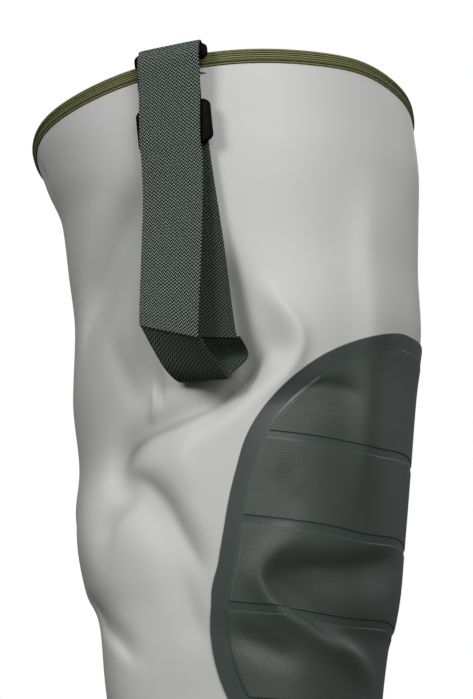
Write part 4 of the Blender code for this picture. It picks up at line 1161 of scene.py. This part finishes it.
def boot_rings(phi):
    """Rings of the boot: foot outlines, with the lift fading out upwards, then a blend to the collar."""
    rise = np.concatenate([np.linspace(0.115, 0.7, 52), np.linspace(0.7, 2.0, 46)[1:]])[:, None]
    x, y = foot_outline(phi[None, :], rise)
    height = rise * INSTEP_HEIGHT
    z = height + lift(x) * (1 - ease(passed(height, LIFT_FADE)))
    foot = np.stack([x, y, z], axis=-1)
    collar_heights = np.linspace(LEG_FOOT_HEIGHT, BOOT_COLLAR_HEIGHT, 8)[:, None]
    collar = leg_point(phi[None, :], np.broadcast_to(collar_heights, (8, len(phi))), -(LEG_WALL + GAP))
    blend = np.linspace(0, 1, 10)[1:-1, None, None]
    between = foot[-1][None] * (1 - blend) + collar[0][None] * blend
    return np.concatenate([foot, between, collar])


def make_boot(colours):
    """Moulded boot wall, insole, and the sole's own solid with its rubber. The insole's rows run from its
    middle line under it to a rounded edge, and over it back to the middle line."""
    phi = 2 * math.pi * (np.arange(220) + 0.5) / 220
    outer = boot_rings(phi)
    inner = drawn_in(outer, BOOT_WALL)
    points = np.concatenate([outer, inner[::-1]])
    place(grid_object("boot_wall", points, wrap_rows=True, wrap_columns=True), "dark_green_moulding",
          boot_rubber("dark_green_moulding", colours.boot, 0.44), "boot_upper")
    margin = -(BOOT_WALL + 3 * GAP)
    x, y = foot_outline(phi, BOOT_SECTIONS[0][0], margin)
    middle = (y + y[::-1]) / 2
    rows = []
    profile = [(0.0, 0.0), (0.5, 0.0), (1.0, 0.0)]
    profile += [(1.0, s) for s in (0.25, 0.5, 0.75)]
    profile += [(1.0, 1.0), (0.5, 1.0), (0.0, 1.0)]
    for out, up in profile:
        z = FEATHER_HEIGHT + lift(x) + GAP + up * INSOLE_THICKNESS
        inset = INSOLE_CORNER * (1 - math.sin(math.pi * up)) * (out == 1.0) / (BALL_WIDTH / 2)
        rows.append(np.stack([x, middle + (y - middle) * (out - inset), z], axis=-1))
    place(grid_object("insole_sheet", np.array(rows), wrap_columns=True, merge=True), "insole_felt",
          felt(colours.insole), "insole")
    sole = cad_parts["outsole"]
    sole.data.materials.clear()
    sole.data.materials.append(boot_rubber("black_tread", colours.sole, 0.60))


def make_stage(settings):
    """Pale floor, soft lights round the wader, white surroundings and the camera of the photo's view."""
    x, y = np.meshgrid([-FLOOR_REACH, FLOOR_REACH], [-FLOOR_REACH, FLOOR_REACH])
    floor = grid_object("floor", np.stack([x, y, 0 * x], axis=-1))
    paint = Finish("pale_floor", 0.9, 0.2)
    paint.shader.inputs["Base Color"].default_value = (0.72, 0.72, 0.72, 1.0)
    x, y, _ = paint.split(paint.map("object"))
    paint.feed("Alpha", 1.0 - (x * x + y * y).between(*FLOOR_FADE))
    floor.data.materials.append(paint.material)
    floor.visible_diffuse = False
    floor.visible_glossy = False
    for label, azimuth, elevation, distance, size, power in LIGHTS:
        lamp = bpy.data.lights.new(label, "AREA")
        lamp.shape = "DISK"
        lamp.size = size
        lamp.energy = power * settings.light_gain
        made = added(label, lamp)
        made.location = LEG_AXIS + (0, 0, settings.aim_height) + distance * view_axes(azimuth, elevation)[2]
        made.rotation_euler = math.radians(90 - elevation), 0, math.radians(azimuth)
        made.visible_camera = False
    world = bpy.data.worlds.new("studio")
    world.use_nodes = True
    bpy.context.scene.world = world
    tree = world.node_tree
    tree.nodes.clear()
    shade = Shade(tree)
    seen = shade.node("ShaderNodeLightPath", output=0)
    way = shade.node("ShaderNodeTexCoord", output=0)
    level = shade.node("ShaderNodeSeparateXYZ", inputs={0: way}, output=2)
    strength = level.between(-0.5, 0.5) * (settings.ambient * AMBIENT_RISE) + settings.ambient * AMBIENT_LOW
    soft = shade.node("ShaderNodeBackground", inputs={"Color": (1.0, 1.0, 1.0, 1.0), "Strength": strength})
    white = shade.node("ShaderNodeBackground", inputs={"Color": (1.0, 1.0, 1.0, 1.0), "Strength": 1.0})
    both = shade.node("ShaderNodeMixShader", inputs={0: seen, 1: soft, 2: white})
    output = tree.nodes.new("ShaderNodeOutputWorld")
    tree.links.new(both.socket, output.inputs["Surface"])
    right, _, back = view_axes(settings.azimuth, settings.elevation)
    aim = LEG_AXIS + settings.aim_shift * right + (0, 0, settings.aim_height)
    camera = added("camera", bpy.data.cameras.new("camera"))
    camera.location = aim + settings.distance * back
    camera.rotation_euler = math.radians(90 - settings.elevation), 0, math.radians(settings.azimuth)
    camera.data.lens = settings.lens
    camera.data.sensor_width = PHOTO_SENSOR
    camera.data.sensor_fit = "AUTO"
    bpy.context.scene.camera = camera
    bpy.context.scene.view_settings.view_transform = "Standard"


# Add-on

def colour_prop(name, default, description):
    return bpy.props.FloatVectorProperty(name=name, description=description, default=default, size=3,
                                         min=0.0, max=1.0, subtype="COLOR")


def number_prop(name, default, description, **limits):
    return bpy.props.FloatProperty(name=name, description=description, default=default, **limits)


class WaderColours(bpy.types.PropertyGroup):
    """Colours of the wader's finishes."""

    leg: colour_prop("Leg", (0.50, 0.505, 0.49), "Coating of the leg")
    panel: colour_prop("Panels", (0.041, 0.051, 0.044), "Embossed panels of the knee patch")
    border: colour_prop("Border", (0.044, 0.056, 0.052), "Smooth border and bands of the knee patch")
    hem: colour_prop("Hem", (0.145, 0.150, 0.060), "Binding tape")
    thread_dark: colour_prop("Dark thread", (0.004, 0.008, 0.005), "Dark threads of the webbing")
    thread_light: colour_prop("Light thread", (0.330, 0.405, 0.340), "Light threads of the webbing")
    plastic: colour_prop("Plastic", (0.003, 0.003, 0.003), "Ring and slide")
    boot: colour_prop("Boot", (0.045, 0.053, 0.044), "Moulded boot")
    sole: colour_prop("Sole", (0.018, 0.019, 0.018), "Tread")
    insole: colour_prop("Insole", (0.10, 0.10, 0.09), "Felt insole")


class WaderSizes(bpy.types.PropertyGroup):
    """Sizes of the soft details."""

    fold_gain: number_prop("Fold gain", 1.0, "Factor on the depth of all folds of the leg", min=0.0, max=2.0)
    patch_pad: number_prop("Panel height", 0.0005, "How far the knee panels stand up", min=0.0, max=0.0015,
                           unit="LENGTH")
    hem_rib: number_prop("Hem rib", 0.00025, "Height of the binding tape's ribs", min=0.0, max=0.0004,
                         unit="LENGTH")
    webbing_thickness: number_prop("Webbing thickness", STRAP_THICKNESS, "Thickness of the belt webbing",
                                   min=0.0008, max=0.0018, unit="LENGTH")


class WaderStage(bpy.types.PropertyGroup):
    """Camera and light."""

    azimuth: number_prop("Azimuth", PHOTO_AZIMUTH, "Camera angle round the wader in degrees")
    elevation: number_prop("Elevation", PHOTO_ELEVATION, "Camera angle above the level in degrees")
    distance: number_prop("Distance", PHOTO_DISTANCE, "Camera to the leg axis", unit="LENGTH")
    lens: number_prop("Lens", PHOTO_LENS, "Focal length in millimetres")
    aim_height: number_prop("Aim height", PHOTO_AIM_HEIGHT, "Height of the middle of the picture",
                            unit="LENGTH")
    aim_shift: number_prop("Aim shift", PHOTO_AIM_SHIFT, "Shift of the picture's middle to the right",
                           unit="LENGTH")
    ambient: number_prop("Ambient", 0.19, "Strength of the surroundings' light", min=0.0)
    light_gain: number_prop("Light gain", 1.0, "Factor on all lamps", min=0.0)


class WADER_OT_leg(bpy.types.Operator):
    """Build the coated leg with its folds."""

    bl_idname = "wader.leg"
    bl_label = "Leg"

    def execute(self, context):
        make_leg(context.scene.wader_colours, context.scene.wader_sizes)
        return {"FINISHED"}


class WADER_OT_hem(bpy.types.Operator):
    """Build the binding tape and its stitches."""

    bl_idname = "wader.hem"
    bl_label = "Hem"

    def execute(self, context):
        make_hem(context.scene.wader_colours, context.scene.wader_sizes)
        make_hem_stitches(context.scene.wader_colours)
        return {"FINISHED"}


class WADER_OT_patch(bpy.types.Operator):
    """Build the knee patch on the folded leg."""

    bl_idname = "wader.patch"
    bl_label = "Knee patch"

    def execute(self, context):
        make_patch(context.scene.wader_colours, context.scene.wader_sizes)
        return {"FINISHED"}


class WADER_OT_webbing(bpy.types.Operator):
    """Build the belt webbing and the ring's tab with its bar tack."""

    bl_idname = "wader.webbing"
    bl_label = "Webbing"

    def execute(self, context):
        make_webbing(context.scene.wader_colours, context.scene.wader_sizes)
        make_bar_tack(context.scene.wader_colours)
        return {"FINISHED"}


class WADER_OT_hardware(bpy.types.Operator):
    """Build the ring and the three-bar slide."""

    bl_idname = "wader.hardware"
    bl_label = "Ring and slide"

    def execute(self, context):
        make_hardware(context.scene.wader_colours)
        return {"FINISHED"}


class WADER_OT_boot(bpy.types.Operator):
    """Build the moulded boot, the insole and the sole's finish."""

    bl_idname = "wader.boot"
    bl_label = "Boot"

    def execute(self, context):
        make_boot(context.scene.wader_colours)
        return {"FINISHED"}


class WADER_OT_stage(bpy.types.Operator):
    """Set the floor, the lights and the camera."""

    bl_idname = "wader.stage"
    bl_label = "Stage"

    def execute(self, context):
        make_stage(context.scene.wader_stage)
        return {"FINISHED"}


class WADER_PT_panel(bpy.types.Panel):
    """Sizes, colours, camera and one button for each group."""

    bl_idname = "WADER_PT_panel"
    bl_label = "Hip wader"
    bl_space_type = "VIEW_3D"
    bl_region_type = "UI"
    bl_category = "Wader"

    def draw(self, context):
        for group in (context.scene.wader_sizes, context.scene.wader_colours, context.scene.wader_stage):
            box = self.layout.box()
            for name in group.__annotations__:
                box.prop(group, name)
        for operator in OPERATORS:
            self.layout.operator(operator.bl_idname)


OPERATORS = (WADER_OT_stage, WADER_OT_leg, WADER_OT_hem, WADER_OT_patch, WADER_OT_webbing, WADER_OT_hardware,
             WADER_OT_boot)
CLASSES = (WaderSizes, WaderColours, WaderStage, *OPERATORS, WADER_PT_panel)


def register():
    for made in CLASSES:
        bpy.utils.register_class(made)
    bpy.types.Scene.wader_sizes = bpy.props.PointerProperty(type=WaderSizes)
    bpy.types.Scene.wader_colours = bpy.props.PointerProperty(type=WaderColours)
    bpy.types.Scene.wader_stage = bpy.props.PointerProperty(type=WaderStage)


def unregister():
    del bpy.types.Scene.wader_stage
    del bpy.types.Scene.wader_colours
    del bpy.types.Scene.wader_sizes
    for made in reversed(CLASSES):
        bpy.utils.unregister_class(made)


def main():
    register()
    bpy.ops.wader.stage()
    bpy.ops.wader.leg()
    bpy.ops.wader.hem()
    bpy.ops.wader.patch()
    bpy.ops.wader.webbing()
    bpy.ops.wader.hardware()
    bpy.ops.wader.boot()


if __name__ == "__main__":
    main()
